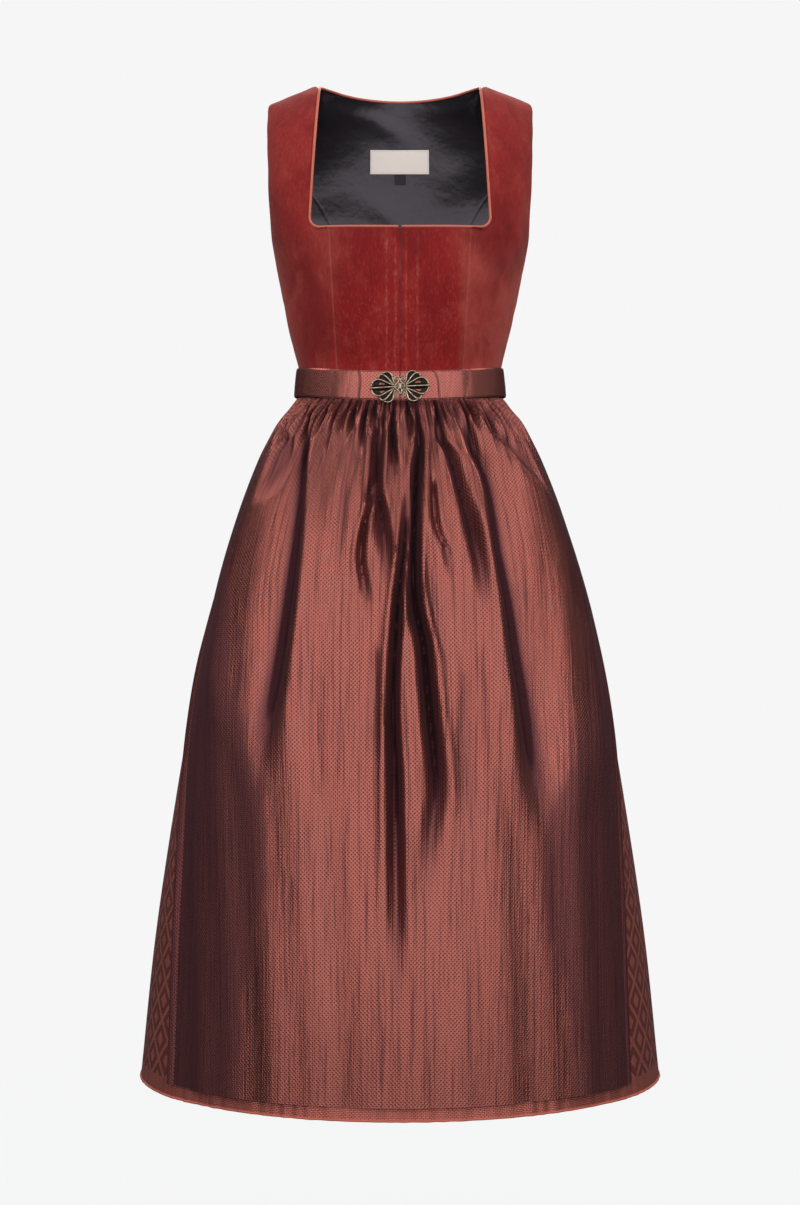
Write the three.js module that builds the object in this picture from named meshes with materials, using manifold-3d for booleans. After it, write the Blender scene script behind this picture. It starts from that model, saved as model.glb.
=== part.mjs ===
// A sleeveless dirndl with its apron, worn by nobody: velvet bodice with a square neck,
// gathered skirt, and a gathered apron whose band closes in front with a filigree clasp.
// Millimetres. +Z is up, the front faces -Y, and the origin lies midway between the two
// neck ends of the shoulder seams, where the wearer carries the dress.
import * as THREE from "three";
import Module from "manifold-3d";
import { mergeVertices } from "three/addons/utils/BufferGeometryUtils.js";

const wasm = await Module();
wasm.setup();

// Cloth
const seam = 0.3; // gap between two pieces that are sewn together
const velvet = 1.5; // wall of the bodice
const satin = 1.0; // wall of the lining
const taffeta = 1.2; // wall of apron and skirt
const bandWall = 1.6; // wall of the apron's waistband

// Levels, measured down from the shoulder
const waistSeam = -362; // bodice and skirt meet here, under the band
const bandTop = -340; // top edge of the band at the side seams
const bandHeight = 34;
const frontDip = 11; // how much lower the band lies at the centre front
const skirtHem = -1180;
const apronHem = -1166;
const neckDepth = -187; // level of the square neckline
const underarm = -212;
const archStart = -150; // above this the cloth rounds over the shoulder

// Shoulder and neck
const neckHalf = 97; // half the neck opening at the shoulder seam
const neckHalfLow = 107; // the same at the bottom of the square
const neckCorner = 14; // radius of the square's rounded corner
const backNeckDrop = 5;
const shoulderHalf = 160; // half the width over both shoulder ends
const shoulderDrop = 24; // slope of the shoulder seam
const armholeTurn = 13; // degrees that the armhole reaches round from the side
const pipingRadius = 1.6;

// The bust, as two low domes
const bust = { across: 76, height: -236, rise: 9, spread: 44 };

// Sections of the bodice: half width at the side, depth in front and behind, squareness.
const bodiceSections = [
  { height: -370, half: 119, front: 89, back: 86, power: 2 },
  { height: -341, half: 121.2, front: 91.5, back: 88, power: 2.02 },
  { height: -305, half: 130, front: 101, back: 92, power: 2.15 },
  { height: -257, half: 140.5, front: 108, back: 98, power: 2.35 },
  { height: -212, half: 149, front: 111, back: 102, power: 2.7 },
  { height: -185, half: 155, front: 110, back: 102, power: 3.1 },
  { height: -140, half: 159, front: 105, back: 101, power: 3.6 },
  { height: -70, half: 161, front: 99, back: 93, power: 4 },
  { height: 0, half: 160, front: 94, back: 82, power: 4 },
];

// Sections of the skirt under its folds. Over the hips they are squarer than an ellipse.
const skirtSections = [
  { height: -362, half: 119.5, front: 89, back: 86, power: 2 },
  { height: -374, half: 121, front: 91, back: 88, power: 2 },
  { height: -389, half: 130, front: 99, back: 98, power: 2.05 },
  { height: -401, half: 139, front: 107, back: 107, power: 2.1 },
  { height: -425, half: 153, front: 121, back: 122, power: 2.2 },
  { height: -449, half: 165, front: 132, back: 136, power: 2.3 },
  { height: -497, half: 184, front: 152, back: 158, power: 2.5 },
  { height: -545, half: 200, front: 169, back: 177, power: 2.6 },
  { height: -593, half: 214, front: 184, back: 193, power: 2.65 },
  { height: -641, half: 226, front: 198, back: 207, power: 2.6 },
  { height: -737, half: 247, front: 223, back: 231, power: 2.45 },
  { height: -881, half: 272, front: 256, back: 262, power: 2.15 },
  { height: -1025, half: 293, front: 281, back: 286, power: 2.02 },
  { height: -1180, half: 309, front: 300, back: 305, power: 2 },
];

// Apron: its edges lie this far round from the centre, along the cloth, up to the side.
const apronHalf = 306;
const apronSide = 88; // degrees
const apronLift = 4; // the apron lies this far out from the skirt

// The apron's long folds. across runs from -1 at the left edge to 1 at the right edge,
// at the fold's top and at its bottom; depth and width are its largest.
const apronFolds = [
  { acrossTop: -0.82, acrossBottom: -0.66, top: -385, bottom: -540, depth: 7, width: 12 },
  { acrossTop: -0.52, acrossBottom: -0.5, top: -380, bottom: -810, depth: 18, width: 15 },
  { acrossTop: -0.4, acrossBottom: -0.42, top: -382, bottom: -490, depth: 6, width: 9 },
  { acrossTop: -0.25, acrossBottom: -0.29, top: -382, bottom: -560, depth: 5, width: 10 },
  { acrossTop: -0.115, acrossBottom: -0.145, top: -380, bottom: -650, depth: 16, width: 11 },
  { acrossTop: 0.066, acrossBottom: 0.03, top: -384, bottom: -800, depth: 26, width: 17 },
  { acrossTop: 0.02, acrossBottom: -0.01, top: -600, bottom: -1040, depth: 9, width: 9 },
  { acrossTop: 0.06, acrossBottom: 0.15, top: -590, bottom: -930, depth: 8, width: 13 },
  { acrossTop: 0.2, acrossBottom: 0.33, top: -380, bottom: -640, depth: 14, width: 12 },
  { acrossTop: 0.33, acrossBottom: 0.4, top: -382, bottom: -500, depth: 6, width: 9 },
  { acrossTop: 0.455, acrossBottom: 0.55, top: -384, bottom: -930, depth: 15, width: 16 },
  { acrossTop: 0.67, acrossBottom: 0.82, top: -384, bottom: -560, depth: 8, width: 11 },
];

// Gathers along a seam, and the long soft folds of the skirt behind the apron.
const apronGathers = { count: 36, depth: 3, length: 62, salt: 1 };
const skirtGathers = { count: 36, depth: 3.2, length: 75, salt: 2 };
const backFolds = { count: 13, depth: 11, width: 15, salt: 3 };

// Small helpers
const radians = (degrees) => (degrees * Math.PI) / 180;
const mix = (a, b, t) => a + (b - a) * t;
const clamp01 = (t) => Math.min(1, Math.max(0, t));
const ease = (a, b, x) => {
  const t = clamp01((x - a) / (b - a));
  return t * t * (3 - 2 * t);
};
const uneven = (i, salt) => {
  const s = Math.sin(i * 12.9898 + salt * 78.233) * 43758.5453;
  return s - Math.floor(s);
};
const steps = (from, to, count) => Array.from({ length: count + 1 }, (_, i) => mix(from, to, i / count));

// A smooth curve through one column of a table, read at a height. Rows run up or down.
function along(table, column, height) {
  const rows = table[0].height < table[1].height ? table : [...table].reverse();
  const last = rows.length - 1;
  const z = Math.min(rows[last].height, Math.max(rows[0].height, height));
  let k = 0;
  while (k < last - 1 && z > rows[k + 1].height) k += 1;
  const slope = (n) => {
    const a = rows[Math.max(0, n - 1)];
    const b = rows[Math.min(last, n + 1)];
    return (b[column] - a[column]) / (b.height - a.height);
  };
  const span = rows[k + 1].height - rows[k].height;
  const t = (z - rows[k].height) / span;
  const start = rows[k][column];
  const end = rows[k + 1][column];
  const t2 = t * t;
  const t3 = t2 * t;
  const ends = (2 * t3 - 3 * t2 + 1) * start + (3 * t2 - 2 * t3) * end;
  return ends + span * ((t3 - 2 * t2 + t) * slope(k) + (t3 - t2) * slope(k + 1));
}

// A closed wall between an outer and an inner grid of points, rows of equal length.
// A ring joins its last column to its first.
function wall(outer, inner, ring = false) {
  const rows = outer.length;
  const columns = outer[0].length;
  const points = [...outer.flat(), ...inner.flat()];
  const at = (side, j, i) => side * rows * columns + j * columns + (i % columns);
  const faces = [];
  const quad = (a, b, c, d) => faces.push(a, b, c, a, c, d);
  const across = ring ? columns : columns - 1;
  for (let j = 0; j < rows - 1; j += 1) {
    for (let i = 0; i < across; i += 1) {
      quad(at(0, j, i), at(0, j, i + 1), at(0, j + 1, i + 1), at(0, j + 1, i));
      quad(at(1, j, i), at(1, j + 1, i), at(1, j + 1, i + 1), at(1, j, i + 1));
    }
    if (!ring) {
      const e = columns - 1;
      quad(at(0, j, 0), at(0, j + 1, 0), at(1, j + 1, 0), at(1, j, 0));
      quad(at(0, j, e), at(1, j, e), at(1, j + 1, e), at(0, j + 1, e));
    }
  }
  for (let i = 0; i < across; i += 1) {
    const t = rows - 1;
    quad(at(0, 0, i), at(1, 0, i), at(1, 0, i + 1), at(0, 0, i + 1));
    quad(at(0, t, i), at(0, t, i + 1), at(1, t, i + 1), at(1, t, i));
  }
  return facingOut(points, faces);
}

// Geometry from points and triangles, turned so that its faces point out.
function facingOut(points, faces) {
  let volume = 0;
  for (let n = 0; n < faces.length; n += 3) {
    const [a, b, c] = [points[faces[n]], points[faces[n + 1]], points[faces[n + 2]]];
    volume += a.dot(b.clone().cross(c));
  }
  if (volume < 0) faces.reverse();
  return new THREE.BufferGeometry().setFromPoints(points).setIndex(faces);
}

// The section of a cord or wire, with a few flat sides.
function roundSection(radius, sides) {
  const corner = (_, n) => {
    const turn = (2 * Math.PI * n) / sides;
    return new THREE.Vector2(radius * Math.cos(turn), radius * Math.sin(turn));
  };
  return new THREE.Shape(Array.from({ length: sides }, corner));
}

// The same piece for the other side of the body.
function mirrored(geometry) {
  const other = geometry.clone().scale(-1, 1, 1);
  other.setIndex([...other.index.array].reverse());
  return other;
}

function solidOf(geometry) {
  const bare = geometry.clone();
  bare.deleteAttribute("normal");
  bare.deleteAttribute("uv");
  const merged = mergeVertices(bare, 1e-4);
  return new wasm.Manifold(
    new wasm.Mesh({
      numProp: 3,
      vertProperties: new Float32Array(merged.attributes.position.array),
      triVerts: new Uint32Array(merged.index.array),
    }),
  );
}

function geometryOf(solid) {
  const mesh = solid.getMesh();
  return new THREE.BufferGeometry()
    .setAttribute("position", new THREE.BufferAttribute(mesh.vertProperties, 3))
    .setIndex(new THREE.BufferAttribute(mesh.triVerts, 1));
}

// Bodice surface. A level is a height and how far the cloth has rounded over the shoulder.
function levelAt(height) {
  const turn = clamp01((height - archStart) / -archStart);
  return { height, arch: Math.sqrt(1 - turn * turn) };
}

// The bodice's rows from the waist up: straight ones, then some over the shoulder.
const straightRows = [waistSeam + seam, -330, -295, -262, -236, -212, -207, -198, neckDepth, -170];
const overShoulder = 7;

function levelsUpTo(top) {
  const lastTurn = Math.asin(1 + top / -archStart);
  const rounded = steps(0, lastTurn, overShoulder).map((turn) => ({
    height: archStart * (1 - Math.sin(turn)),
    arch: Math.cos(turn),
  }));
  return [...straightRows.map(levelAt), ...rounded];
}

// A point of the bodice: turn is 0 at the centre and 90 degrees at the side seam.
function bodicePoint(side, turn, level, out = 0) {
  const { height, arch } = level;
  const half = along(bodiceSections, "half", height);
  const power = along(bodiceSections, "power", height);
  const across = Math.sin(turn);
  const deep = Math.max(0, 1 - Math.abs(across) ** power) ** (1 / power);
  const x = half * across;
  let y;
  if (side === "front") {
    const dome = Math.exp(
      -((Math.abs(x) - bust.across) ** 2 + (height - bust.height) ** 2) / (2 * bust.spread ** 2),
    );
    y = -along(bodiceSections, "front", height) * deep * arch - bust.rise * dome * deep;
  } else {
    const toNeck = Math.min(1, Math.abs(x) / (neckHalf - 1));
    const over = 1 - (1 - toNeck ** 1.8) ** 0.8;
    y = along(bodiceSections, "back", height) * deep * (1 - over + over * arch);
  }
  y += Math.sign(y) * seam * 0.7;
  const slope = clamp01((Math.abs(x) - neckHalf) / (shoulderHalf - neckHalf));
  const z = height - shoulderDrop * slope * ease(-190, 0, height);
  const point = new THREE.Vector3(x, y, z);
  if (out === 0) return point;
  const nudge = 0.01;
  const beside = bodicePoint(side, turn + (turn > 0 ? -nudge : nudge), level);
  const lowerTurn = Math.asin(clamp01(1 + level.height / -archStart)) - nudge;
  const lowerLevel =
    level.height > archStart
      ? { height: archStart * (1 - Math.sin(lowerTurn)), arch: Math.cos(lowerTurn) }
      : levelAt(level.height - 1);
  const below = bodicePoint(side, turn, lowerLevel);
  const normal = beside.sub(point).cross(below.sub(point)).normalize();
  const outward = new THREE.Vector3(x, y, Math.max(0, height - archStart) * 2 * (1 - arch));
  if (normal.dot(outward) < 0) normal.negate();
  return point.addScaledVector(normal, out);
}

const turnAt = (x, height) => Math.asin(Math.min(1, x / along(bodiceSections, "half", height)));
const seamTurn = (height) => seam / 2 / along(bodiceSections, "half", height);

// The armhole's edge, as a turn from the centre.
function edgeTurn(height) {
  if (height <= underarm) return Math.PI / 2 - seamTurn(height);
  const down = clamp01(height / underarm);
  const rise = Math.sin(Math.PI * down) ** mix(0.25, 0.55, down);
  return Math.PI / 2 - radians(armholeTurn) * rise - seamTurn(height);
}

// Where the front shaping seam runs, from waist to neckline.
const princessAcross = (height) => mix(73, 82, clamp01((height - waistSeam) / (neckDepth - waistSeam)));

// Where the back shaping seam runs: it curves from the waist into the armhole.
const backSeamTop = -50;
function backSeamShare(height) {
  const rise = clamp01((height - waistSeam) / (backSeamTop - waistSeam));
  return Math.min(1, 0.28 + 0.72 * rise ** 4);
}

function bodicePanel(side, levels, turnsAt, thickness) {
  const grid = (out) =>
    levels.map((level) => turnsAt(level).map((turn) => bodicePoint(side, turn, level, out)));
  return wall(grid(0), grid(-thickness));
}

function frontCentrePanel() {
  const levels = straightRows.filter((height) => height <= neckDepth).map(levelAt);
  const turnsAt = ({ height }) =>
    steps(
      turnAt(seam / 2 + 0.2, height),
      turnAt(princessAcross(height), height) - seamTurn(height),
      4,
    );
  return bodicePanel("front", levels, turnsAt, velvet);
}

// The edge of the neck opening on the front, from the centre to the shoulder.
function frontNeckEdge() {
  const corner = { x: neckHalfLow - neckCorner, height: neckDepth + neckCorner };
  const flat = steps(2, corner.x, 7).map((x) => ({ x, height: neckDepth }));
  const round = steps(-90, 0, 5).map((degrees) => ({
    x: corner.x + neckCorner * Math.cos(radians(degrees)),
    height: corner.height + neckCorner * Math.sin(radians(degrees)),
  }));
  const upright = levelsUpTo(-0.01).filter(({ height }) => height > corner.height + 1);
  const sides = upright.map(({ height }) => ({
    x: mix(neckHalf, neckHalfLow, height / corner.height),
    height,
  }));
  return [...flat.slice(0, -1), ...round, ...sides].map(({ x, height }) => ({
    side: "front",
    turn: turnAt(x, height),
    level: levelAt(height),
  }));
}

const edgePoint = ({ side, turn, level }, out = 0) => bodicePoint(side, turn, level, out);

// A block that cuts the neck opening out of the right front.
function neckCutter() {
  const edge = frontNeckEdge();
  const shape = new THREE.Shape();
  shape.moveTo(-20, neckDepth);
  edge.map((place) => edgePoint(place)).forEach((point) => shape.lineTo(point.x, point.z));
  shape.lineTo(neckHalf, 30);
  shape.lineTo(-20, 30);
  const block = new THREE.ExtrudeGeometry(shape, { depth: 260, bevelEnabled: false });
  return block.rotateX(Math.PI / 2).translate(0, 40, 0);
}

function frontSidePanel() {
  const levels = levelsUpTo(-0.001);
  const turnsAt = ({ height }) => {
    const inner = height < neckDepth ? princessAcross(height) : 82;
    return steps(turnAt(inner, height) + seamTurn(height), edgeTurn(height), 6);
  };
  const whole = bodicePanel("front", levels, turnsAt, velvet);
  return geometryOf(solidOf(whole).subtract(solidOf(neckCutter())));
}

const neckShare = Math.asin(neckHalf / shoulderHalf) / (Math.PI / 2);

// How high a column of the back reaches: to the neck edge or to the shoulder seam.
function backTop(share) {
  const x = Math.min(neckHalf, shoulderHalf * Math.sin((Math.PI / 2) * Math.abs(share)));
  return -0.001 - backNeckDrop * (1 - (x / neckHalf) ** 2);
}

// The back and its lining share their rows and columns, so they lie in step.
const neckShares = [0.14, 0.25, 0.33, 0.385, neckShare];
const sideShares = [...neckShares, 0.6, 0.8, 1];
const backColumnShares = [...sideShares.map((share) => -share).reverse(), 0, ...sideShares];

// The back centre from side seam to side seam of its panel.
function backCentre({ out, thickness }) {
  const gap = (height) => seamTurn(height) / (Math.PI / 2);
  const grid = (depth) => {
    const byColumn = backColumnShares.map((column) => {
      const levels = levelsUpTo(backTop(column));
      return levels.map((level) => {
        const limit = backSeamShare(level.height) - gap(level.height);
        return bodicePoint("back", column * limit * edgeTurn(level.height), level, depth);
      });
    });
    return byColumn[0].map((_, j) => byColumn.map((points) => points[j]));
  };
  return wall(grid(out), grid(out - thickness));
}

function sideBack({ out, thickness }) {
  const levels = levelsUpTo(-0.001).filter(({ height }) => height < backSeamTop);
  const grid = (depth) =>
    levels.map((level) => {
      const from = backSeamShare(level.height) * edgeTurn(level.height) + seamTurn(level.height);
      const to = edgeTurn(level.height) - seamTurn(level.height);
      return steps(from, to, 4).map((turn) => bodicePoint("back", turn, level, depth));
    });
  return wall(grid(out), grid(out - thickness));
}

const shell = { out: 0, thickness: velvet };
const lining = { out: -velvet - seam, thickness: satin };

// A label lies on the lining, moved in from the lining's own rows.
function neckTab({ from, to, top, bottom, thickness }) {
  const rows = levelsUpTo(-0.001);
  const onLining = (x, height, depth) => {
    const k = rows.findIndex((level) => level.height > height);
    const [lower, upper] = [rows[k - 1], rows[k]];
    const place = (level) => bodicePoint("back", turnAt(x, level.height), level, depth);
    return place(lower).lerp(place(upper), (height - lower.height) / (upper.height - lower.height));
  };
  const inside = lining.out - lining.thickness - 3 * seam;
  const grid = (depth) =>
    steps(bottom, top, 2).map((height) => steps(from, to, 4).map((x) => onLining(x, height, depth)));
  return wall(grid(inside), grid(inside - thickness));
}

// The neck piping, from the centre front round the back to the centre front again.
function neckPiping() {
  const back = [...neckShares.slice(0, -1).reverse(), 0].map((share) => {
    const level = levelAt(backTop(share));
    return { side: "back", turn: share * edgeTurn(level.height), level };
  });
  const places = [...frontNeckEdge().slice(0, -1), ...back];
  const middle = places.map((place) => edgePoint(place, place.side === "front" ? -velvet / 2 : -1.4));
  const half = places.map((place, n) => {
    const before = middle[Math.max(0, n - 1)];
    const after = middle[Math.min(middle.length - 1, n + 1)];
    const normal = edgePoint(place, 1).sub(edgePoint(place)).normalize();
    const away = normal.cross(after.clone().sub(before).normalize());
    if (away.z - (away.x * middle[n].x) / neckHalf < 0) away.negate();
    const clear = pipingRadius + (place.side === "front" ? seam : 2.5 * seam);
    return middle[n].clone().addScaledVector(away, clear);
  });
  const otherHalf = half.slice(0, -1).reverse().map((p) => new THREE.Vector3(-p.x, p.y, p.z));
  const curve = new THREE.CatmullRomCurve3([...half, ...otherHalf], false, "centripetal");
  const settings = { steps: 70, extrudePath: curve, bevelEnabled: false };
  return new THREE.ExtrudeGeometry(roundSection(pipingRadius, 6), settings);
}

// Skirt and apron surface. around is 0 at the centre front, in radians.
function skirtPoint(around, height, out) {
  const half = along(skirtSections, "half", height);
  const power = along(skirtSections, "power", height);
  const deep = along(skirtSections, Math.cos(around) >= 0 ? "front" : "back", height);
  const full = (Math.abs(Math.sin(around)) ** power + Math.abs(Math.cos(around)) ** power) ** (-1 / power);
  const x = full * Math.sin(around);
  const y = -full * Math.cos(around);
  const wayX = (Math.sign(x) * Math.abs(x) ** (power - 1)) / half;
  const wayY = (Math.sign(y) * Math.abs(y) ** (power - 1)) / deep;
  const direction = new THREE.Vector2(wayX, wayY).normalize();
  return new THREE.Vector3(half * x + direction.x * out, deep * y + direction.y * out, height);
}

// How far round the apron's edge lies at a height, in radians.
function apronEdge(height) {
  const radius = (along(skirtSections, "half", height) + along(skirtSections, "front", height)) / 2;
  const reach = apronHalf / radius;
  const side = radians(apronSide);
  const soft = 0.12; // rounds the change from the side to the free edge
  return side - soft * Math.log1p(Math.exp((side - reach) / soft));
}

// The long folds alone, in millimetres, at a place across the apron.
function foldDepth(across, height) {
  const reach = apronEdge(height) * along(skirtSections, "half", height);
  return apronFolds.reduce((sum, fold) => {
    const down = (fold.top - height) / (fold.top - fold.bottom);
    if (down <= 0 || down >= 1) return sum;
    const swell = ease(0, 0.22, down) * (1 - ease(0.45, 1, down));
    const width = fold.width * mix(0.45, 1.15, down);
    const off = ((across - mix(fold.acrossTop, fold.acrossBottom, down)) * reach) / width;
    const flank = Math.exp(-((Math.abs(off) - 1.9) ** 2) * 1.2) * 0.3;
    return sum - fold.depth * swell * (Math.exp(-off * off) - flank);
  }, 0);
}

// Small gathers just under a seam, each of its own depth and length.
function gatherList({ count, depth, length, salt }) {
  return steps(0, count - 1, count - 1).map((i) => ({
    at: -1 + (2 * (i + 0.5 + 0.5 * (uneven(i, salt) - 0.5))) / count,
    depth: depth * mix(0.65, 1.15, uneven(i, salt + 10)),
    length: length * mix(0.5, 2.1, uneven(i, salt + 20) ** 2),
    width: 0.62 / count,
  }));
}

function gatherDepth(gathers, across, down) {
  return gathers.reduce((sum, gather) => {
    const off = (across - gather.at) / gather.width;
    if (Math.abs(off) > 3) return sum;
    const swell = 0.4 + 1.6 * ease(0, 0.35 * gather.length, down);
    const fade = 1 - ease(0.3 * gather.length, 1.6 * gather.length, down);
    return sum - gather.depth * swell * fade * Math.exp(-off * off);
  }, 0);
}

const bandDip = (around) => frontDip * Math.max(0, Math.cos(around)) ** 2;
const apronGatherList = gatherList(apronGathers);
const skirtGatherList = gatherList(skirtGathers);

// Columns that catch each gather's valley and the ridge beside it.
function gatherColumns(gathers) {
  const valleys = gathers.map((gather) => gather.at);
  const ridges = valleys.slice(1).map((at, n) => (at + valleys[n]) / 2);
  return [-1, ...valleys, ...ridges, 1].sort((a, b) => a - b);
}

function apronPoint(across, share, out) {
  const aroundTop = across * radians(apronSide);
  const top = bandTop - bandHeight - seam - bandDip(aroundTop);
  const height = mix(top, apronHem, share);
  const around = across * apronEdge(height);
  const down = top - height;
  const belly = 1.5 * Math.sin(9 * across + 0.6) + 1.2 * Math.sin(17 * across + 2.1);
  const puff = 3.5 * ease(0, 9, down) * (1 - ease(16, 60, down));
  const lift =
    mix(1.5, apronLift, ease(0, 40, down)) +
    puff +
    foldDepth(across, height) +
    gatherDepth(apronGatherList, across, down) +
    belly * ease(80, 260, down);
  return skirtPoint(around, height, lift + out);
}

function apronPanel() {
  const shares = [1, 0.9, 0.77, 0.65, 0.53, 0.42, 0.32, 0.23, 0.15, 0.09, 0.05, 0.02, 0];
  const columns = gatherColumns(apronGatherList);
  const grid = (out) => shares.map((share) => columns.map((across) => apronPoint(across, share, out)));
  return wall(grid(0), grid(-taffeta));
}

// The skirt's folds behind the apron are soft and run to the hem.
const backFoldList = steps(0, backFolds.count - 1, backFolds.count - 1).map((i) => ({
  at: -1 + (2 * (i + 0.5 + 0.6 * (uneven(i, backFolds.salt) - 0.5))) / backFolds.count,
  depth: backFolds.depth * mix(0.5, 1.2, uneven(i, backFolds.salt + 10)),
  width: backFolds.width * mix(0.7, 1.4, uneven(i, backFolds.salt + 20)),
  end: mix(-800, -1300, uneven(i, backFolds.salt + 30)),
}));

function backFoldDepth(across, height) {
  const reach = (Math.PI / 2) * along(skirtSections, "half", height);
  return backFoldList.reduce((sum, fold) => {
    const down = (waistSeam - height) / (waistSeam - fold.end);
    const width = fold.width * mix(0.5, 1.5, down);
    const off = ((across - fold.at) * reach) / width;
    const swell = ease(0.06, 0.3, down) * (1 - 0.85 * ease(0.45, 1, down));
    return sum - fold.depth * swell * (Math.exp(-off * off) - 0.3 * Math.exp(-((Math.abs(off) - 2) ** 2)));
  }, 0);
}

// The skirt's front follows the apron's long folds from underneath. The back comes in
// to meet it at the side seams.
function skirtOut(side, across, height) {
  const down = waistSeam - height;
  if (side === "back") {
    const own = backFoldDepth(across, height) + gatherDepth(skirtGatherList, across, down);
    return mix(own, skirtOut("front", Math.sign(across), height), ease(0.9, 1, Math.abs(across)));
  }
  const onApron = (across * Math.PI) / 2 / apronEdge(height);
  const freeEdge = ease(140, 290, down);
  const covered = 1 - ease(mix(0.96, 0.8, freeEdge), mix(1.12, 1, freeEdge), Math.abs(onApron));
  const under = -mix(5, 10, ease(0, 45, down)) * covered * mix(1, 0.3, ease(450, 720, down));
  return under + covered * foldDepth(Math.max(-1, Math.min(1, onApron)), height);
}

function skirtWallPoint(side, across, height, out) {
  const slack = seam / 2 / along(skirtSections, "half", height);
  const around = across * (Math.PI / 2 - slack);
  const turned = side === "front" ? around : Math.PI - around;
  return skirtPoint(turned, height, skirtOut(side, across, height) + out);
}

const skirtHeights = [-1180, -1110, -1010, -890, -770, -650, -560, -490, -435, -395, -362.3];
const frontColumns = steps(-1, 1, 34);
const backColumns = gatherColumns(skirtGatherList);

function skirtWidth(side, columns) {
  const grid = (out) =>
    skirtHeights.map((height) => columns.map((across) => skirtWallPoint(side, across, height, out)));
  return wall(grid(0), grid(-taffeta));
}

// The hem piping runs under both skirt widths, from their own hem points.
function hemPiping() {
  const thick = 2.6;
  const hemPoints = (out, drop) => {
    const at = (side, across) => skirtWallPoint(side, across, skirtHem, out);
    const front = frontColumns.slice(1, -1).map((across) => at("front", across));
    const back = backColumns.slice(1, -1).reverse().map((across) => at("back", across));
    return [...front, ...back].map((p) => p.setZ(skirtHem - drop));
  };
  const spread = (thick - taffeta) / 2;
  const outer = [hemPoints(spread, 3), hemPoints(spread, seam)];
  const inner = [hemPoints(spread - thick, 3), hemPoints(spread - thick, seam)];
  return wall(outer, inner, true);
}

// The band's ends meet under the clasp at the centre front.
function apronBand() {
  const section = [
    { height: bandTop, half: 124.4, front: 95.2, back: 91.5 },
    { height: bandTop - bandHeight, half: 127.6, front: 98.6, back: 94.5 },
  ];
  const startAround = 0.004;
  const columns = steps(startAround, 2 * Math.PI - startAround, 48);
  const grid = (out) =>
    [1, 0.5, 0].map((share) =>
      columns.map((around) => {
        const level = bandTop - bandHeight * share;
        const half = along(section, "half", level);
        const deep = along(section, Math.cos(around) >= 0 ? "front" : "back", level);
        const way = new THREE.Vector2(deep * Math.sin(around), -half * Math.cos(around)).normalize();
        return new THREE.Vector3(
          half * Math.sin(around) + way.x * out,
          -deep * Math.cos(around) + way.y * out,
          level - bandDip(around),
        );
      }),
    );
  return wall(grid(0), grid(-bandWall));
}

// The clasp: two fans of pierced petals on a thin plate, hooked together behind a boss.
const clasp = { plate: 1.2, rim: 1.3, back: 97.4, lean: 0.1, centre: -368 };
// One fan's petals: the middle of each, across and up from the clasp's centre, its half
// length and half width, and how it leans in degrees.
const claspPetals = [
  { across: 19, up: 0.6, long: 16, wide: 1.4, lean: 1, pierced: false },
  { across: 19.5, up: 6.2, long: 12.8, wide: 4, lean: 24, pierced: true },
  { across: 15, up: 10, long: 10, wide: 3.7, lean: 46, pierced: true },
  { across: 9.6, up: 11.4, long: 7, wide: 3.4, lean: 70, pierced: true },
  { across: 19.5, up: -5, long: 12.8, wide: 3.8, lean: -21, pierced: true },
  { across: 15, up: -8.8, long: 10, wide: 3.6, lean: -43, pierced: true },
  { across: 9.6, up: -10.8, long: 7, wide: 3.3, lean: -68, pierced: true },
  { across: 5, up: 0, long: 4.6, wide: 6.5, lean: 0, pierced: false },
];

function claspPetal({ across, up, long, wide, lean, pierced }) {
  const shape = new THREE.Shape();
  shape.absellipse(across, up, long, wide, 0, 2 * Math.PI, false, radians(lean));
  if (pierced) {
    const hole = new THREE.Path();
    const { rim } = clasp;
    hole.absellipse(across, up, long - rim, wide - rim, 0, 2 * Math.PI, true, radians(lean));
    shape.holes.push(hole);
  }
  return new THREE.ExtrudeGeometry(shape, { depth: clasp.plate, bevelEnabled: false, curveSegments: 5 });
}

function claspWing() {
  const petals = claspPetals.map((petal) => solidOf(claspPetal(petal)));
  return petals.slice(1).reduce((wing, petal) => wing.add(petal), petals[0]);
}

// Stands a flat clasp piece up against the band and bends it to the band's round.
function stoodUp(solid, direction) {
  const geometry = geometryOf(solid);
  const position = geometry.attributes.position;
  for (let n = 0; n < position.count; n += 1) {
    const x = position.getX(n) * direction;
    const up = position.getY(n);
    const out = position.getZ(n);
    const falls = x ** 2 / 420;
    const y = clasp.back + seam + out - falls - clasp.lean * up;
    position.setXYZ(n, x, -y, clasp.centre + up);
  }
  const faces = [...geometry.index.array];
  const points = Array.from({ length: position.count }, (_, n) =>
    new THREE.Vector3().fromBufferAttribute(position, n),
  );
  return facingOut(points, faces);
}

function claspBoss() {
  const bead = new THREE.SphereGeometry(1, 10, 6).scale(2, 6.2, 1.5).translate(0, 0, 2.6);
  const lozenge = new THREE.Shape();
  lozenge.moveTo(0, -9);
  lozenge.lineTo(4, 0);
  lozenge.lineTo(0, 9);
  lozenge.lineTo(-4, 0);
  const base = new THREE.ExtrudeGeometry(lozenge, { depth: 1, bevelEnabled: false });
  return solidOf(bead).add(solidOf(base.translate(0, 0, clasp.plate + seam)));
}

// Colours read from the cloth, roughness from its sheen.
function cloth(color, roughness, metalness = 0) {
  return new THREE.MeshStandardMaterial({ color, roughness, metalness, side: THREE.DoubleSide });
}

const finishes = {
  velvet: cloth(0x842f2c, 0.9),
  satin: cloth(0x3c3840, 0.35),
  piping: cloth(0xa8594b, 0.5),
  apron: cloth(0x9a564e, 0.4, 0.3),
  skirt: cloth(0x6e3c36, 0.5, 0.2),
  label: cloth(0xd7c7c1, 0.7),
  tab: cloth(0x1d1b1f, 0.6),
  metal: cloth(0x6f6656, 0.45, 0.9),
};

const dirndl = new THREE.Group();

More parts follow.
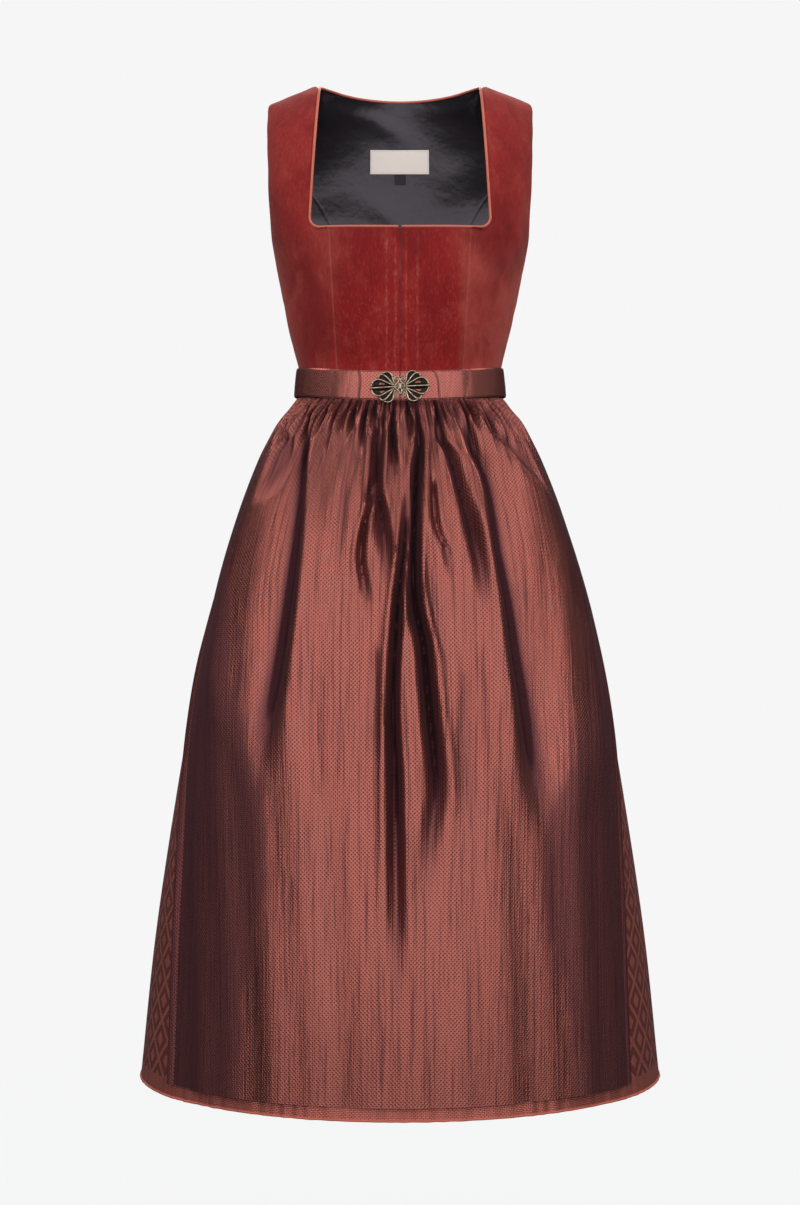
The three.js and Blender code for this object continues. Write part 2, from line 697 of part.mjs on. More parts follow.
function add(name, geometry, finish) {
  const mesh = new THREE.Mesh(geometry, finishes[finish]);
  mesh.name = name;
  dirndl.add(mesh);
}

function addPair(name, geometry, finish) {
  add(name + "_right", geometry, finish);
  add(name + "_left", mirrored(geometry), finish);
}

addPair("bodice_front_centre", frontCentrePanel(), "velvet");
addPair("bodice_front_side", frontSidePanel(), "velvet");
addPair("bodice_side_back", sideBack(shell), "velvet");
add("bodice_back", backCentre(shell), "velvet");
addPair("lining_side_back", sideBack(lining), "satin");
add("lining_back", backCentre(lining), "satin");
add("neck_piping", neckPiping(), "piping");
add("neck_label", neckTab({ from: -37, to: 36, top: -61, bottom: -90, thickness: 1 }), "label");
add("size_tab", neckTab({ from: -7, to: 7, top: -90.4, bottom: -103, thickness: 1 }), "tab");
add("skirt_front", skirtWidth("front", frontColumns), "skirt");
add("skirt_back", skirtWidth("back", backColumns), "skirt");
add("hem_piping", hemPiping(), "piping");
add("apron_panel", apronPanel(), "apron");
add("apron_band", apronBand(), "apron");
const wing = claspWing();
const boss = claspBoss();
add("clasp_right", stoodUp(wing, 1), "metal");
add("clasp_left", stoodUp(wing, -1), "metal");
add("clasp_boss", stoodUp(boss, 1), "metal");

export default dirndl;
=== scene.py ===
import math

import bpy
import numpy as np
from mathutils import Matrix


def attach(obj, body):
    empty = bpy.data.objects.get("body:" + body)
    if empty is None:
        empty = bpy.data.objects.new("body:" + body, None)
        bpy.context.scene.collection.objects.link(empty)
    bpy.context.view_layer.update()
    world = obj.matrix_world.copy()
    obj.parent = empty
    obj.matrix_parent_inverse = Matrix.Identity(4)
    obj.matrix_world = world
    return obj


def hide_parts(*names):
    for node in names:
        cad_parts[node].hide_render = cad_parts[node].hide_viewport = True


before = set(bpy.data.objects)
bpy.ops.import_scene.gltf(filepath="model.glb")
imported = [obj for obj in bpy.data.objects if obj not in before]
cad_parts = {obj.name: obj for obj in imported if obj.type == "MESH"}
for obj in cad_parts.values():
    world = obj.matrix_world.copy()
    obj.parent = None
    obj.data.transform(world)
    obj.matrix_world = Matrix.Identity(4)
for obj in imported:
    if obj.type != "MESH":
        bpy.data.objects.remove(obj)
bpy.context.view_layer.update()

scene = bpy.context.scene
millimetre = 0.001


def clamp(value):
    return np.clip(value, 0, 1)


def mix(a, b, share):
    return a + (b - a) * share


def ease(a, b, value):
    share = clamp((value - a) / (b - a))
    return share * share * (3 - 2 * share)


def uneven(index, salt):
    wave = np.sin(index * 12.9898 + salt * 78.233) * 43758.5453
    return wave - np.floor(wave)


def both(count):  # shares from 0 to 1, closer together near both ends
    return 0.5 - 0.5 * np.cos(np.linspace(0, math.pi, count))


def along(table, column, height):  # a smooth curve through one column of a table
    rows = np.array(table["height"], float)
    values = np.array(table[column], float)
    z = np.clip(height, rows[0], rows[-1])
    k = np.clip(np.searchsorted(rows, z, side="right") - 1, 0, len(rows) - 2)
    before = np.maximum(np.arange(len(rows)) - 1, 0)
    after = np.minimum(np.arange(len(rows)) + 1, len(rows) - 1)
    slope = (values[after] - values[before]) / (rows[after] - rows[before])
    span = rows[k + 1] - rows[k]
    t = (z - rows[k]) / span
    t2, t3 = t * t, t * t * t
    ends = (2 * t3 - 3 * t2 + 1) * values[k] + (3 * t2 - 2 * t3) * values[k + 1]
    return ends + span * ((t3 - 2 * t2 + t) * slope[k] + (t3 - t2) * slope[k + 1])


def unit(vectors):
    return vectors / np.maximum(1e-9, np.linalg.norm(vectors, axis=-1, keepdims=True))


def outwardNormals(points):  # of a grid of points, away from the body's own axis
    normals = unit(np.cross(np.gradient(points, axis=1), np.gradient(points, axis=0)))
    away = points * np.array([1, 1, 0])
    return normals if np.sum(normals * away) > 0 else -normals


def lengthAlong(points, axis):  # how far each grid point lies from the first one, along the cloth
    step = np.linalg.norm(np.diff(points, axis=axis), axis=-1)
    pad = [(0, 0), (0, 0)]
    pad[axis] = (1, 0)
    return np.cumsum(np.pad(step, pad), axis=axis)


def fromEdges(points, axis):  # distance from the first edge and from the last one
    run = lengthAlong(points, axis)
    total = run[:, -1:] if axis == 1 else run[-1:, :]
    return run, total - run


# Meshes


def gridMesh(name, points, chart, finish, paintedShade=None):
    rows, columns = points.shape[:2]
    facing = np.cross(np.gradient(points, axis=1), np.gradient(points, axis=0))
    if np.sum(facing * outwardNormals(points)) < 0:
        points, chart = points[:, ::-1], chart[:, ::-1]
        paintedShade = None if paintedShade is None else paintedShade[:, ::-1]
    bpy.ops.object.select_all(action="DESELECT")
    bpy.ops.mesh.primitive_grid_add(x_subdivisions=columns - 1, y_subdivisions=rows - 1, size=2)
    piece = bpy.context.object
    piece.name = piece.data.name = name
    mesh = piece.data
    flat = np.empty(len(mesh.vertices) * 3)
    mesh.vertices.foreach_get("co", flat)
    flat = flat.reshape(-1, 3)
    i = np.rint((flat[:, 0] + 1) / 2 * (columns - 1)).astype(int)
    j = np.rint((flat[:, 1] + 1) / 2 * (rows - 1)).astype(int)
    mesh.vertices.foreach_set("co", (points[j, i] * millimetre).ravel())
    corner = np.empty(len(mesh.loops), int)
    mesh.loops.foreach_get("vertex_index", corner)
    mesh.uv_layers.active.data.foreach_set("uv", (chart[j, i][corner] * millimetre).ravel())
    mesh.uv_layers.active.name = "cloth"
    # painted shade of folds, slits and turned sides, kept on the cloth for its finish
    if paintedShade is not None:
        mesh.attributes.new("paintedShade", "FLOAT", "POINT").data.foreach_set("value", paintedShade[j, i])
    mesh.update()
    mesh.materials.append(finish)
    bpy.ops.object.shade_smooth()
    return piece


def thicken(piece, thickness, sharp=50):
    wall = piece.modifiers.new("wall", "SOLIDIFY")
    wall.thickness = thickness * millimetre
    wall.offset = -1
    bpy.ops.object.select_all(action="DESELECT")
    piece.select_set(True)
    bpy.context.view_layer.objects.active = piece
    bpy.ops.object.modifier_apply(modifier="wall")
    bpy.ops.object.shade_smooth_by_angle(angle=math.radians(sharp))
    return piece


def tube(name, path, side, radius, finish, ring=False, facets=12):
    forward = unit(np.gradient(path, axis=0))
    if ring:
        forward[0] = forward[-1] = unit(path[1] - path[-2])
    lift = unit(np.cross(forward, side))
    side = unit(np.cross(lift, forward))
    turn = np.linspace(0, 2 * math.pi, facets + 1)[None, :, None]
    radius = np.broadcast_to(radius, (len(path),))[:, None, None]
    points = path[:, None, :] + radius * (np.cos(turn) * side[:, None, :] + np.sin(turn) * lift[:, None, :])
    run = np.concatenate([[0], np.cumsum(np.linalg.norm(np.diff(path, axis=0), axis=1))])
    chart = np.stack(np.broadcast_arrays(turn[..., 0] * radius[..., 0], run[:, None]), -1)
    piece = gridMesh(name, points, chart, finish)
    bpy.ops.object.mode_set(mode="EDIT")
    bpy.ops.mesh.select_all(action="SELECT")
    bpy.ops.mesh.remove_doubles(threshold=0.00002)
    if not ring:
        bpy.ops.mesh.select_all(action="DESELECT")
        bpy.ops.mesh.select_non_manifold()
        bpy.ops.mesh.edge_face_add()
        bpy.ops.mesh.select_all(action="SELECT")
    bpy.ops.mesh.normals_make_consistent(inside=False)
    bpy.ops.object.mode_set(mode="OBJECT")
    return piece


def wear(piece, solid):  # stands for its CAD node and moves with the dress
    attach(piece, "root")
    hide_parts(solid)


def clothPiece(name, solid, slot, points, chart, thickness, finish=None, paintedShade=None):
    piece = gridMesh(name, points, chart, finishes[finish or slot], paintedShade)
    wear(thicken(piece, thickness), solid)


# Finishes


def node(tree, kind, inputs=None, **settings):
    made = tree.nodes.new("ShaderNode" + kind)
    for key, value in settings.items():
        setattr(made, key, value)
    for key, value in (inputs or {}).items():
        if isinstance(value, bpy.types.NodeSocket):
            tree.links.new(value, made.inputs[key])
        else:
            made.inputs[key].default_value = value
    return made


def maths(tree, operation, a, b=None):
    inputs = {0: a} if b is None else {0: a, 1: b}
    return node(tree, "Math", inputs, operation=operation).outputs[0]


def chained(tree, operation, values):
    total = values[0]
    for value in values[1:]:
        total = maths(tree, operation, total, value)
    return total


def plus(tree, *values):
    return chained(tree, "ADD", values)


def times(tree, *values):
    return chained(tree, "MULTIPLY", values)


def gap(tree, a, b):  # how far apart two values are
    return maths(tree, "ABSOLUTE", maths(tree, "SUBTRACT", a, b))


def between(tree, value, start, end, low=0, high=1):  # low up to the start, high from the end on
    inputs = {"Value": value, "From Min": start, "From Max": end, "To Min": low, "To Max": high}
    return node(tree, "MapRange", inputs).outputs[0]


def axes(tree, vector):
    return node(tree, "SeparateXYZ", {"Vector": vector}).outputs


def blendColour(tree, share, a, b):
    a, b = (shade if isinstance(shade, bpy.types.NodeSocket) else (*shade, 1) for shade in (a, b))
    return node(tree, "Mix", {0: share, 6: a, 7: b}, data_type="RGBA").outputs[2]


def newFinish(name, **sockets):
    material = bpy.data.materials.new(name)
    material.use_nodes = True
    tree = material.node_tree
    shader = tree.nodes["Principled BSDF"]
    for key, value in sockets.items():
        shader.inputs[key.replace("_", " ")].default_value = value
    return material, tree, shader


def connect(tree, shader, colour, normal, rough=None):
    tree.links.new(colour, shader.inputs["Base Color"])
    tree.links.new(normal, shader.inputs["Normal"])
    if rough is not None:
        tree.links.new(rough, shader.inputs["Roughness"])


def chartOf(tree, scale=(1000, 1000, 1)):  # the cloth's own chart, in millimetres
    chart = node(tree, "UVMap", uv_map="cloth").outputs[0]
    return node(tree, "Mapping", {"Vector": chart, "Scale": scale}).outputs[0]


def objectOf(tree, scale=(1, 1, 1)):
    place = node(tree, "TexCoord").outputs["Object"]
    return node(tree, "Mapping", {"Vector": place, "Scale": scale}).outputs[0]


def noise(tree, vector, scale, detail=2.0, rough=0.5, distortion=0.0):
    inputs = {"Vector": vector, "Scale": scale, "Detail": detail, "Roughness": rough}
    inputs["Distortion"] = distortion
    return node(tree, "TexNoise", inputs).outputs["Fac"]


def bump(tree, height, distance, strength=1.0, under=None):
    inputs = {"Height": height, "Distance": distance, "Strength": strength}
    if under is not None:
        inputs["Normal"] = under
    return node(tree, "Bump", inputs).outputs["Normal"]


# Places on the velvet are in metres. A noise is its scale, detail, roughness and distortion.
velvet = {
    # the lighter colour is for crushed pile, and also paints a sheen line along the princess seams
    "deep": (0.245, 0.0066, 0.0076), "coral": (0.350, 0.043, 0.034), "crushedAndSheen": (0.42, 0.105, 0.075),
    # the darkest colour is for darker pile, and also paints shade over the upper bodice
    "darkPileAndShade": (0.12, 0.004, 0.005), "sheen": (1.0, 0.46, 0.38, 1), "sheenWeight": 0.27,
    "sheenRoughness": 0.36, "roughness": 0.85, "gloss": 0.2,
    "clouds": (22, 5, 0.66, 0.2), "patches": (45, 6, 0.72, 0.15), "nap": (1100, 3, 0.75),
    "flecks": (420, 4, 0.75, 0.1), "drawnOut": (1, 1, 0.6), "fleckDrawnOut": (1, 1, 0.3),
    "neck": -0.187, "above": (-0.275, -0.195), "princess": (0.066, 0.088),
    "leanFrom": (-0.1, 0.1), "lean": (0.3, 2.7), "leanAbove": 0.3, "leastCloud": 0.35,
    "lines": (-0.0155, -0.0052, 0.0070, 0.0205), "lineWidth": (0.0006, 0.0022), "lineWorn": 0.12,
    "lineFlecks": 0.75, "seamFoot": 0.0916, "seamSlope": 0.0514, "seamWidth": (0.0002, 0.0016),
    "seamSheen": 0.45, "beside": 0.080, "besideWidth": (0, 0.030), "besideWorn": 0.30, "patchWorn": 0.26,
    "fleckWorn": 0.36, "cloudDark": 0.42, "abovePaintedShade": 0.18, "napDark": 0.30, "patchRise": 0.0024,
    "napRise": 0.0008,
}


def velvetFinish():
    look = velvet
    material, tree, shader = newFinish(
        "velvet", Roughness=look["roughness"], Specular_IOR_Level=look["gloss"], Sheen_Tint=look["sheen"],
        Sheen_Weight=look["sheenWeight"], Sheen_Roughness=look["sheenRoughness"])
    place = objectOf(tree)
    x, y, z = axes(tree, place)
    across = maths(tree, "ABSOLUTE", x)
    cloudy = noise(tree, objectOf(tree, look["drawnOut"]), *look["clouds"])
    patches = noise(tree, objectOf(tree, look["drawnOut"]), *look["patches"])
    nap = noise(tree, place, *look["nap"])
    flecks = between(tree, noise(tree, objectOf(tree, look["fleckDrawnOut"]), *look["flecks"]), 0.5, 0.72)
    above = between(tree, z, *look["above"])
    # the centre panels lie with their pile down and look deeper than the sides
    lean = between(tree, x, *look["leanFrom"], *look["lean"])
    lean = node(tree, "Mix", {0: above, 2: lean, 3: look["leanAbove"]}, data_type="FLOAT").outputs[0]
    side = times(tree, between(tree, across, *look["princess"]), lean, plus(tree, look["leastCloud"], cloudy))
    colour = blendColour(tree, side, look["deep"], look["coral"])

    def near(value, place, width):  # 1 at a place, 0 beyond its width
        return between(tree, gap(tree, value, place), *width, 1, 0)

    onFront = times(tree, maths(tree, "LESS_THAN", z, look["neck"]), maths(tree, "LESS_THAN", y, 0))
    lines = chained(tree, "MAXIMUM", [near(x, line, look["lineWidth"]) for line in look["lines"]])
    lineWorn = plus(tree, look["lineWorn"], times(tree, flecks, look["lineFlecks"]))
    seamAcross = maths(tree, "SUBTRACT", across, times(tree, z, look["seamSlope"]))
    # painted sheen: a lighter line along each princess seam
    seam = times(tree, near(seamAcross, look["seamFoot"], look["seamWidth"]), onFront)
    wornAndSheen = plus(tree, times(tree, between(tree, patches, 0.52, 0.74), look["patchWorn"]),
                times(tree, near(across, look["beside"], look["besideWidth"]), above, look["besideWorn"]),
                times(tree, seam, look["seamSheen"]), times(tree, lines, onFront, lineWorn),
                times(tree, flecks, look["fleckWorn"]))
    colour = blendColour(tree, wornAndSheen, colour, look["crushedAndSheen"])
    # darker pile where the clouds are low and in the nap, and painted shade over the upper bodice
    darkPileAndShade = plus(tree, between(tree, cloudy, 0.36, 0.56, look["cloudDark"], 0),
                  times(tree, above, look["abovePaintedShade"]), times(tree, nap, look["napDark"]))
    colour = blendColour(tree, darkPileAndShade, colour, look["darkPileAndShade"])
    pile = bump(tree, nap, look["napRise"], 0.7)
    connect(tree, shader, colour, bump(tree, patches, look["patchRise"], 0.5, pile))
    return material


# The dots' size is in millimetres along the cloth, and threads, hairs and specks are scales of its chart.
# Deep and the shade core are painted shade colours, laid where the stored shade attribute marks fold valleys,
# gather slits, the strip under the band and sides turned from the light.
taffeta = {
    "bright": (0.236, 0.070, 0.055), "plum": (0.060, 0.017, 0.019), "deep": (0.080, 0.027, 0.034),
    "shadeCore": (0.030, 0.008, 0.010), "edge": (0.42, 0.24, 0.27, 1), "bloom": (0.6, 0.45, 0.6, 1),
    "bloomWeight": 0.05, "bloomRoughness": 0.5, "metal": 0.85, "roughness": 0.25, "uneven": 0.03,
    "dot": 4.5, "dotShare": 0.5, "dotSink": -0.0004, "threads": (230, 6, 1), "hairs": (700, 14, 1),
    "specks": (700, 420, 1), "streak": 1.0, "streakShare": 0.6, "threadRise": 0.0013, "hairRise": 0.0003,
    "speckRise": 0.0001, "shadeShare": 0.9, "shadeCoreShare": 0.75, "matt": 0.4,
}
bandTaffeta = {**taffeta, "bright": (0.285, 0.086, 0.069), "streak": 0.25, "dot": 4.0, "dotShare": 0.45}


def taffetaFinish(name, look):
    material, tree, shader = newFinish(
        name, Metallic=look["metal"], Specular_Tint=look["edge"], Sheen_Tint=look["bloom"],
        Sheen_Weight=look["bloomWeight"], Sheen_Roughness=look["bloomRoughness"])
    perDot = 2000 * math.pi / look["dot"]
    x, y = axes(tree, chartOf(tree, (perDot, perDot, 1)))[:2]
    dots = between(tree, times(tree, maths(tree, "SINE", x), maths(tree, "SINE", y)), 0.15, 0.75)
    threads = noise(tree, chartOf(tree, look["threads"]), 1, 3, 0.75)
    hairs = noise(tree, chartOf(tree, look["hairs"]), 1, 2, 0.6)
    specks = noise(tree, chartOf(tree, look["specks"]), 1, 2, 0.6)
    streak = look["streak"]
    share = plus(tree, times(tree, dots, look["dotShare"]),
                 times(tree, between(tree, threads, 0.5, 0.66), look["streakShare"] * streak),
                 times(tree, maths(tree, "SUBTRACT", hairs, 0.5), look["streakShare"] * streak))
    share = node(tree, "Clamp", {"Value": share}).outputs[0]
    colour = blendColour(tree, share, look["bright"], look["plum"])
    # painted shade: the stored shade attribute darkens the cloth towards deep plum, darkest at its core
    paintedShade = node(tree, "Attribute", attribute_name="paintedShade").outputs["Fac"]
    colour = blendColour(tree, times(tree, paintedShade, look["shadeShare"]), colour, look["deep"])
    colour = blendColour(tree, between(tree, paintedShade, 0.8, 1.0, 0, look["shadeCoreShare"]), colour, look["shadeCore"])
    low = look["roughness"] - look["uneven"]
    rough = between(tree, specks, 0, 1, low, low + 2 * look["uneven"])
    rough = plus(tree, rough, times(tree, paintedShade, look["matt"]))
    normal = bump(tree, threads, look["threadRise"] * streak, 0.7)
    normal = bump(tree, hairs, look["hairRise"] * streak, 0.5, normal)
    normal = bump(tree, specks, look["speckRise"], 0.4, normal)
    connect(tree, shader, colour, bump(tree, dots, look["dotSink"], 0.7, normal), rough)
    return material


# Sizes along the cloth in millimetres. Line, heart and knot are limits on the way across a lozenge, 0 to 2.
jacquard = {
    "ground": (0.150, 0.037, 0.032), "figure": (0.64, 0.190, 0.140), "edge": (0.5, 0.3, 0.3, 1),
    "metal": 0.42, "roughness": 0.4, "repeat": (46, 44), "line": 0.17, "heart": 0.42, "knot": 1.62,
    "pitch": (4.2, 1.9), "parted": 0.5, "threads": (150, 10, 1), "facing": -1163, "facingShare": 0.88,
}


def jacquardFinish():
    look = jacquard
    material, tree, shader = newFinish(
        "jacquard", Metallic=look["metal"], Roughness=look["roughness"], Specular_Tint=look["edge"])
    chart = chartOf(tree)
    x, y = axes(tree, chart)[:2]

    def fold(value, size):  # 0 in the middle of each repeat, 1 at its edge
        return times(tree, gap(tree, maths(tree, "FRACT", maths(tree, "DIVIDE", value, size)), 0.5), 2)

    lozenge = plus(tree, fold(x, look["repeat"][0]), fold(y, look["repeat"][1]))
    outline = maths(tree, "LESS_THAN", gap(tree, lozenge, 1.0), look["line"])
    heart = maths(tree, "LESS_THAN", lozenge, look["heart"])
    knot = maths(tree, "GREATER_THAN", lozenge, look["knot"])
    above = maths(tree, "GREATER_THAN", y, look["facing"])
    figure = times(tree, chained(tree, "MAXIMUM", (outline, heart, knot)), above)
    facing = times(tree, maths(tree, "SUBTRACT", 1, above), look["facingShare"])
    brick = {"Vector": chart, "Scale": 1, "Mortar Size": look["parted"], "Mortar Smooth": 0.6,
             "Brick Width": look["pitch"][0], "Row Height": look["pitch"][1]}
    dash = maths(tree, "SUBTRACT", 1, node(tree, "TexBrick", brick, offset=0.5).outputs["Fac"])
    threads = noise(tree, chartOf(tree, look["threads"]), 1, 3, 0.7)
    share = times(tree, plus(tree, figure, facing), dash, between(tree, threads, 0.25, 0.75, 0.35, 1.0))
    colour = blendColour(tree, share, look["ground"], look["figure"])
    connect(tree, shader, colour, bump(tree, share, 0.0002, 0.5, bump(tree, threads, 0.0003, 0.4)))
    return material


def satinFinish(name, colour, rough, gloss):
    material, tree, shader = newFinish(name, Roughness=rough, Specular_Tint=(*gloss, 1))
    place = objectOf(tree)
    cloudy = noise(tree, place, 30, 3, 0.6)
    fine = noise(tree, place, 1500, 2, 0.6)
    shade = tuple(part * 0.62 for part in colour)
    normal = bump(tree, fine, 0.0002, 0.35, bump(tree, cloudy, 0.004, 0.35))
    connect(tree, shader, blendColour(tree, cloudy, shade, colour), normal)
    return material


stitching = {"in": 1.6, "width": 0.35, "share": 0.35, "colour": (0.45, 0.33, 0.30)}


def wovenFinish(name, colour, pitch, edges=None):
    material, tree, shader = newFinish(name, Roughness=0.7, Sheen_Weight=0.15, Sheen_Roughness=0.5)
    chart = chartOf(tree)
    brick = {"Vector": chart, "Scale": 1, "Mortar Size": pitch * 0.2, "Mortar Smooth": 1.0,
             "Brick Width": pitch, "Row Height": pitch * 0.5}
    weave = node(tree, "TexBrick", brick, offset=0.5).outputs["Fac"]
    cloth = blendColour(tree, weave, colour, tuple(part * 0.8 for part in colour))
    if edges:  # a fine stitched line inside the label's edge
        reach = []
        for place, (low, high) in zip(axes(tree, chart), edges):
            half = (high - low) / 2 - stitching["in"]
            reach.append(maths(tree, "SUBTRACT", gap(tree, place, (low + high) / 2), half))
        away = maths(tree, "ABSOLUTE", maths(tree, "MAXIMUM", *reach))
        line = maths(tree, "LESS_THAN", away, stitching["width"])
        cloth = blendColour(tree, times(tree, line, stitching["share"]), cloth, stitching["colour"])
    connect(tree, shader, cloth, bump(tree, weave, -0.0001, 0.6))
    return material


def metalFinish(name, bright, dark, rough):
    material, tree, shader = newFinish(name, Metallic=1.0)
    place = objectOf(tree)
    tarnish = noise(tree, place, 420, 4, 0.65)
    pits = noise(tree, place, 2600, 2, 0.6)
    colour = blendColour(tree, between(tree, tarnish, 0.35, 0.7), bright, dark)
    shine = between(tree, tarnish, 0, 1, rough - 0.08, rough + 0.15)
    connect(tree, shader, colour, bump(tree, pits, 0.0001, 0.5), shine)
    return material


neckLabel = {"from": -37, "to": 36, "top": -61, "bottom": -90, "wall": 0.7}
sizeTab = {"from": -7, "to": 7, "top": -90.4, "bottom": -103, "wall": 0.7}
labelEdges = ((neckLabel["from"], neckLabel["to"]), (neckLabel["bottom"], neckLabel["top"]))
finishes = {
    "velvet": velvetFinish(),
    "apron": taffetaFinish("taffeta", taffeta),
    "band": taffetaFinish("bandTaffeta", bandTaffeta),
    "skirt": jacquardFinish(),
    "lining": satinFinish("charcoalSatin", (0.021, 0.018, 0.022), 0.27, (0.75, 0.66, 0.74)),
    "piping": satinFinish("coralSatin", (0.56, 0.130, 0.085), 0.5, (1.0, 0.7, 0.6)),
    "label": wovenFinish("creamLabel", (1.0, 0.88, 0.82), 1.2, labelEdges),
    "tab": wovenFinish("blackTab", (0.012, 0.011, 0.013), 0.9),
    "clasp": metalFinish("antiqueMetal", (0.60, 0.50, 0.37), (0.06, 0.045, 0.03), 0.24),
    # oxide and painted shade: near black metal in the cups and webs between the wires and on the plate behind
    # the boss
    "recess": metalFinish("darkRecess", (0.034, 0.024, 0.018), (0.010, 0.008, 0.006), 0.55),
}
print("finishes ready")

# Bodice form

bodice = {
    "waist": -361.7, "neck": -187.0, "underarm": -212.0, "archStart": -150.0,
    "neckHalf": 97.0, "neckHalfLow": 107.0, "corner": 14.0, "backDrop": 5.0,
    "shoulderHalf": 160.0, "shoulderDrop": 24.0, "armholeTurn": 13.0, "seam": 0.04, "wall": 1.5,
    "bustAcross": 76.0, "bustHeight": -236.0, "bustRise": 9.0, "bustSpread": 44.0,
    "backSeamTop": -50.0, "backSeamLow": 0.28, "seamFoot": -362, "princess": (73, 82),
}
bodiceSections = {
    "height": [-370, -341, -305, -257, -212, -185, -140, -70, 0],
    "half": [119, 121.2, 130, 140.5, 149, 155, 159, 161, 160],
    "front": [89, 91.5, 101, 108, 111, 110, 105, 99, 94],
    "back": [86, 88, 92, 98, 102, 102, 101, 93, 82],
    "power": [2, 2.02, 2.15, 2.35, 2.7, 3.1, 3.6, 4, 4],
}


def climbOf(height):  # the way up the cloth, which goes on over the shoulder
    start = bodice["archStart"]
    over = np.arcsin(np.clip((np.asarray(height, float) - start) / -start, 0, 1))
    return np.where(np.asarray(height) > start, start - start * over, height)


def levelOf(climb):
    start = bodice["archStart"]
    over = np.clip((climb - start) / -start, 0, math.pi / 2)
    return np.where(climb > start, start * (1 - np.sin(over)), climb), np.cos(over)


def bodicePoint(side, turn, climb):  # turn is 0 at the centre and 90 degrees at the side seam
    height, arch = levelOf(climb)
    half = along(bodiceSections, "half", height)
    power = along(bodiceSections, "power", height)
    sine = np.sin(turn)
    deep = np.maximum(0, 1 - np.abs(sine) ** power) ** (1 / power)
    x = half * sine
    if side == "front":
        spread = 2 * bodice["bustSpread"] ** 2
        away = (np.abs(x) - bodice["bustAcross"]) ** 2 + (height - bodice["bustHeight"]) ** 2
        dome = np.exp(-away / spread)
        y = -along(bodiceSections, "front", height) * deep * arch - bodice["bustRise"] * dome * deep + 0.3
    else:
        toNeck = np.minimum(1, np.abs(x) / (bodice["neckHalf"] - 1))
        over = 1 - (1 - toNeck ** 1.8) ** 0.8
        y = along(bodiceSections, "back", height) * deep * (1 - over + over * arch) - 0.3
    slope = clamp((np.abs(x) - bodice["neckHalf"]) / (bodice["shoulderHalf"] - bodice["neckHalf"]))
    z = height - bodice["shoulderDrop"] * slope * ease(-190, 0, height)
    rounded = 0
    for edge, rise in (("neckHalf", 3.2), ("shoulderHalf", 2.2)):
        rounded = rounded + rise * np.exp(-((np.abs(x) - bodice[edge]) / 3.5) ** 2)
    z = z - rounded * ease(-14, 0, height)
    return np.stack(np.broadcast_arrays(x, y, z), -1)


def turnAt(x, height):
    return np.arcsin(np.minimum(1, x / along(bodiceSections, "half", height)))


def seamTurn(height):
    return bodice["seam"] / 2 / along(bodiceSections, "half", height)


def edgeTurn(height):  # the side seam, and above it the armhole's edge
    down = clamp(height / bodice["underarm"])
    rise = np.maximum(0, np.sin(math.pi * np.maximum(down, 0.05))) ** mix(0.25, 0.55, down)
    armhole = math.pi / 2 - math.radians(bodice["armholeTurn"]) * rise
    return np.where(height <= bodice["underarm"], math.pi / 2, armhole) - seamTurn(height)


def seamRise(height, top):  # 0 at the foot of the seams, 1 at the top
    return clamp((height - bodice["seamFoot"]) / (top - bodice["seamFoot"]))


def princessAcross(height):
    return mix(*bodice["princess"], seamRise(height, bodice["neck"]))


def backSeamShare(height):
    low = bodice["backSeamLow"]
    return np.minimum(1, low + (1 - low) * seamRise(height, bodice["backSeamTop"]) ** 4)


def backTop(share):
    x = np.minimum(bodice["neckHalf"], bodice["shoulderHalf"] * np.sin(math.pi / 2 * np.abs(share)))
    return -0.001 - bodice["backDrop"] * (1 - (x / bodice["neckHalf"]) ** 2)


# The neck opening's front edge as distance across and way up, from the seam to the shoulder.
def neckPath(count):
    low, corner = bodice["neckHalfLow"] - bodice["corner"], bodice["neck"] + bodice["corner"]
    quarter = np.linspace(0, math.pi / 2, 12)[1:]
    climb = np.linspace(corner, climbOf(-0.001), 60)[1:]
    height = levelOf(climb)[0]
    upper = mix(bodice["neckHalf"], bodice["neckHalfLow"], height / corner)
    x = np.concatenate([[bodice["princess"][1], low], low + bodice["corner"] * np.sin(quarter), upper])
    up = np.concatenate([[bodice["neck"]] * 2, corner - bodice["corner"] * np.cos(quarter), climb])
    run = np.concatenate([[0], np.cumsum(np.hypot(np.diff(x), np.diff(up)))])
    at = np.linspace(0, run[-1], count)
    return np.interp(at, run, x), np.interp(at, run, up)


# Soft troughs pressed into the front: from and to (across, height), depth and width.
# The first rows are the crushed lines beside the opening, the others the creases over the waist.
frontCreases = [
    (-16.0, -350, -15.0, -196, 0.55, 1.3), (-5.4, -352, -5.0, -192, 0.5, 1.0),
    (6.6, -352, 7.4, -192, 0.5, 1.0), (21.5, -350, 19.5, -215, 0.5, 1.5),
    (86, -300, 93, -338, 1.5, 3.0), (97, -312, 99, -342, 1.3, 2.6),
    (103, -318, 106, -344, 1.1, 2.6), (-90, -308, -91, -342, 1.3, 2.8),
    (-101, -322, -100, -344, 1.1, 2.6), (-112, -300, -106, -318, 0.9, 4.0),
    (112, -296, 108, -318, 0.9, 4.0), (-55, -332, -58, -344, 0.7, 3.0),
    (54, -330, 57, -344, 0.7, 3.0), (-30, -336, -32, -346, 0.6, 2.5),
    (38, -338, 36, -347, 0.6, 2.5), (-118, -232, -128, -262, 0.9, 6.0),
    (117, -228, 127, -256, 0.9, 6.0), (-128, -186, -120, -206, 1.0, 5.0),
    (129, -186, 121, -206, 1.0, 5.0),
]


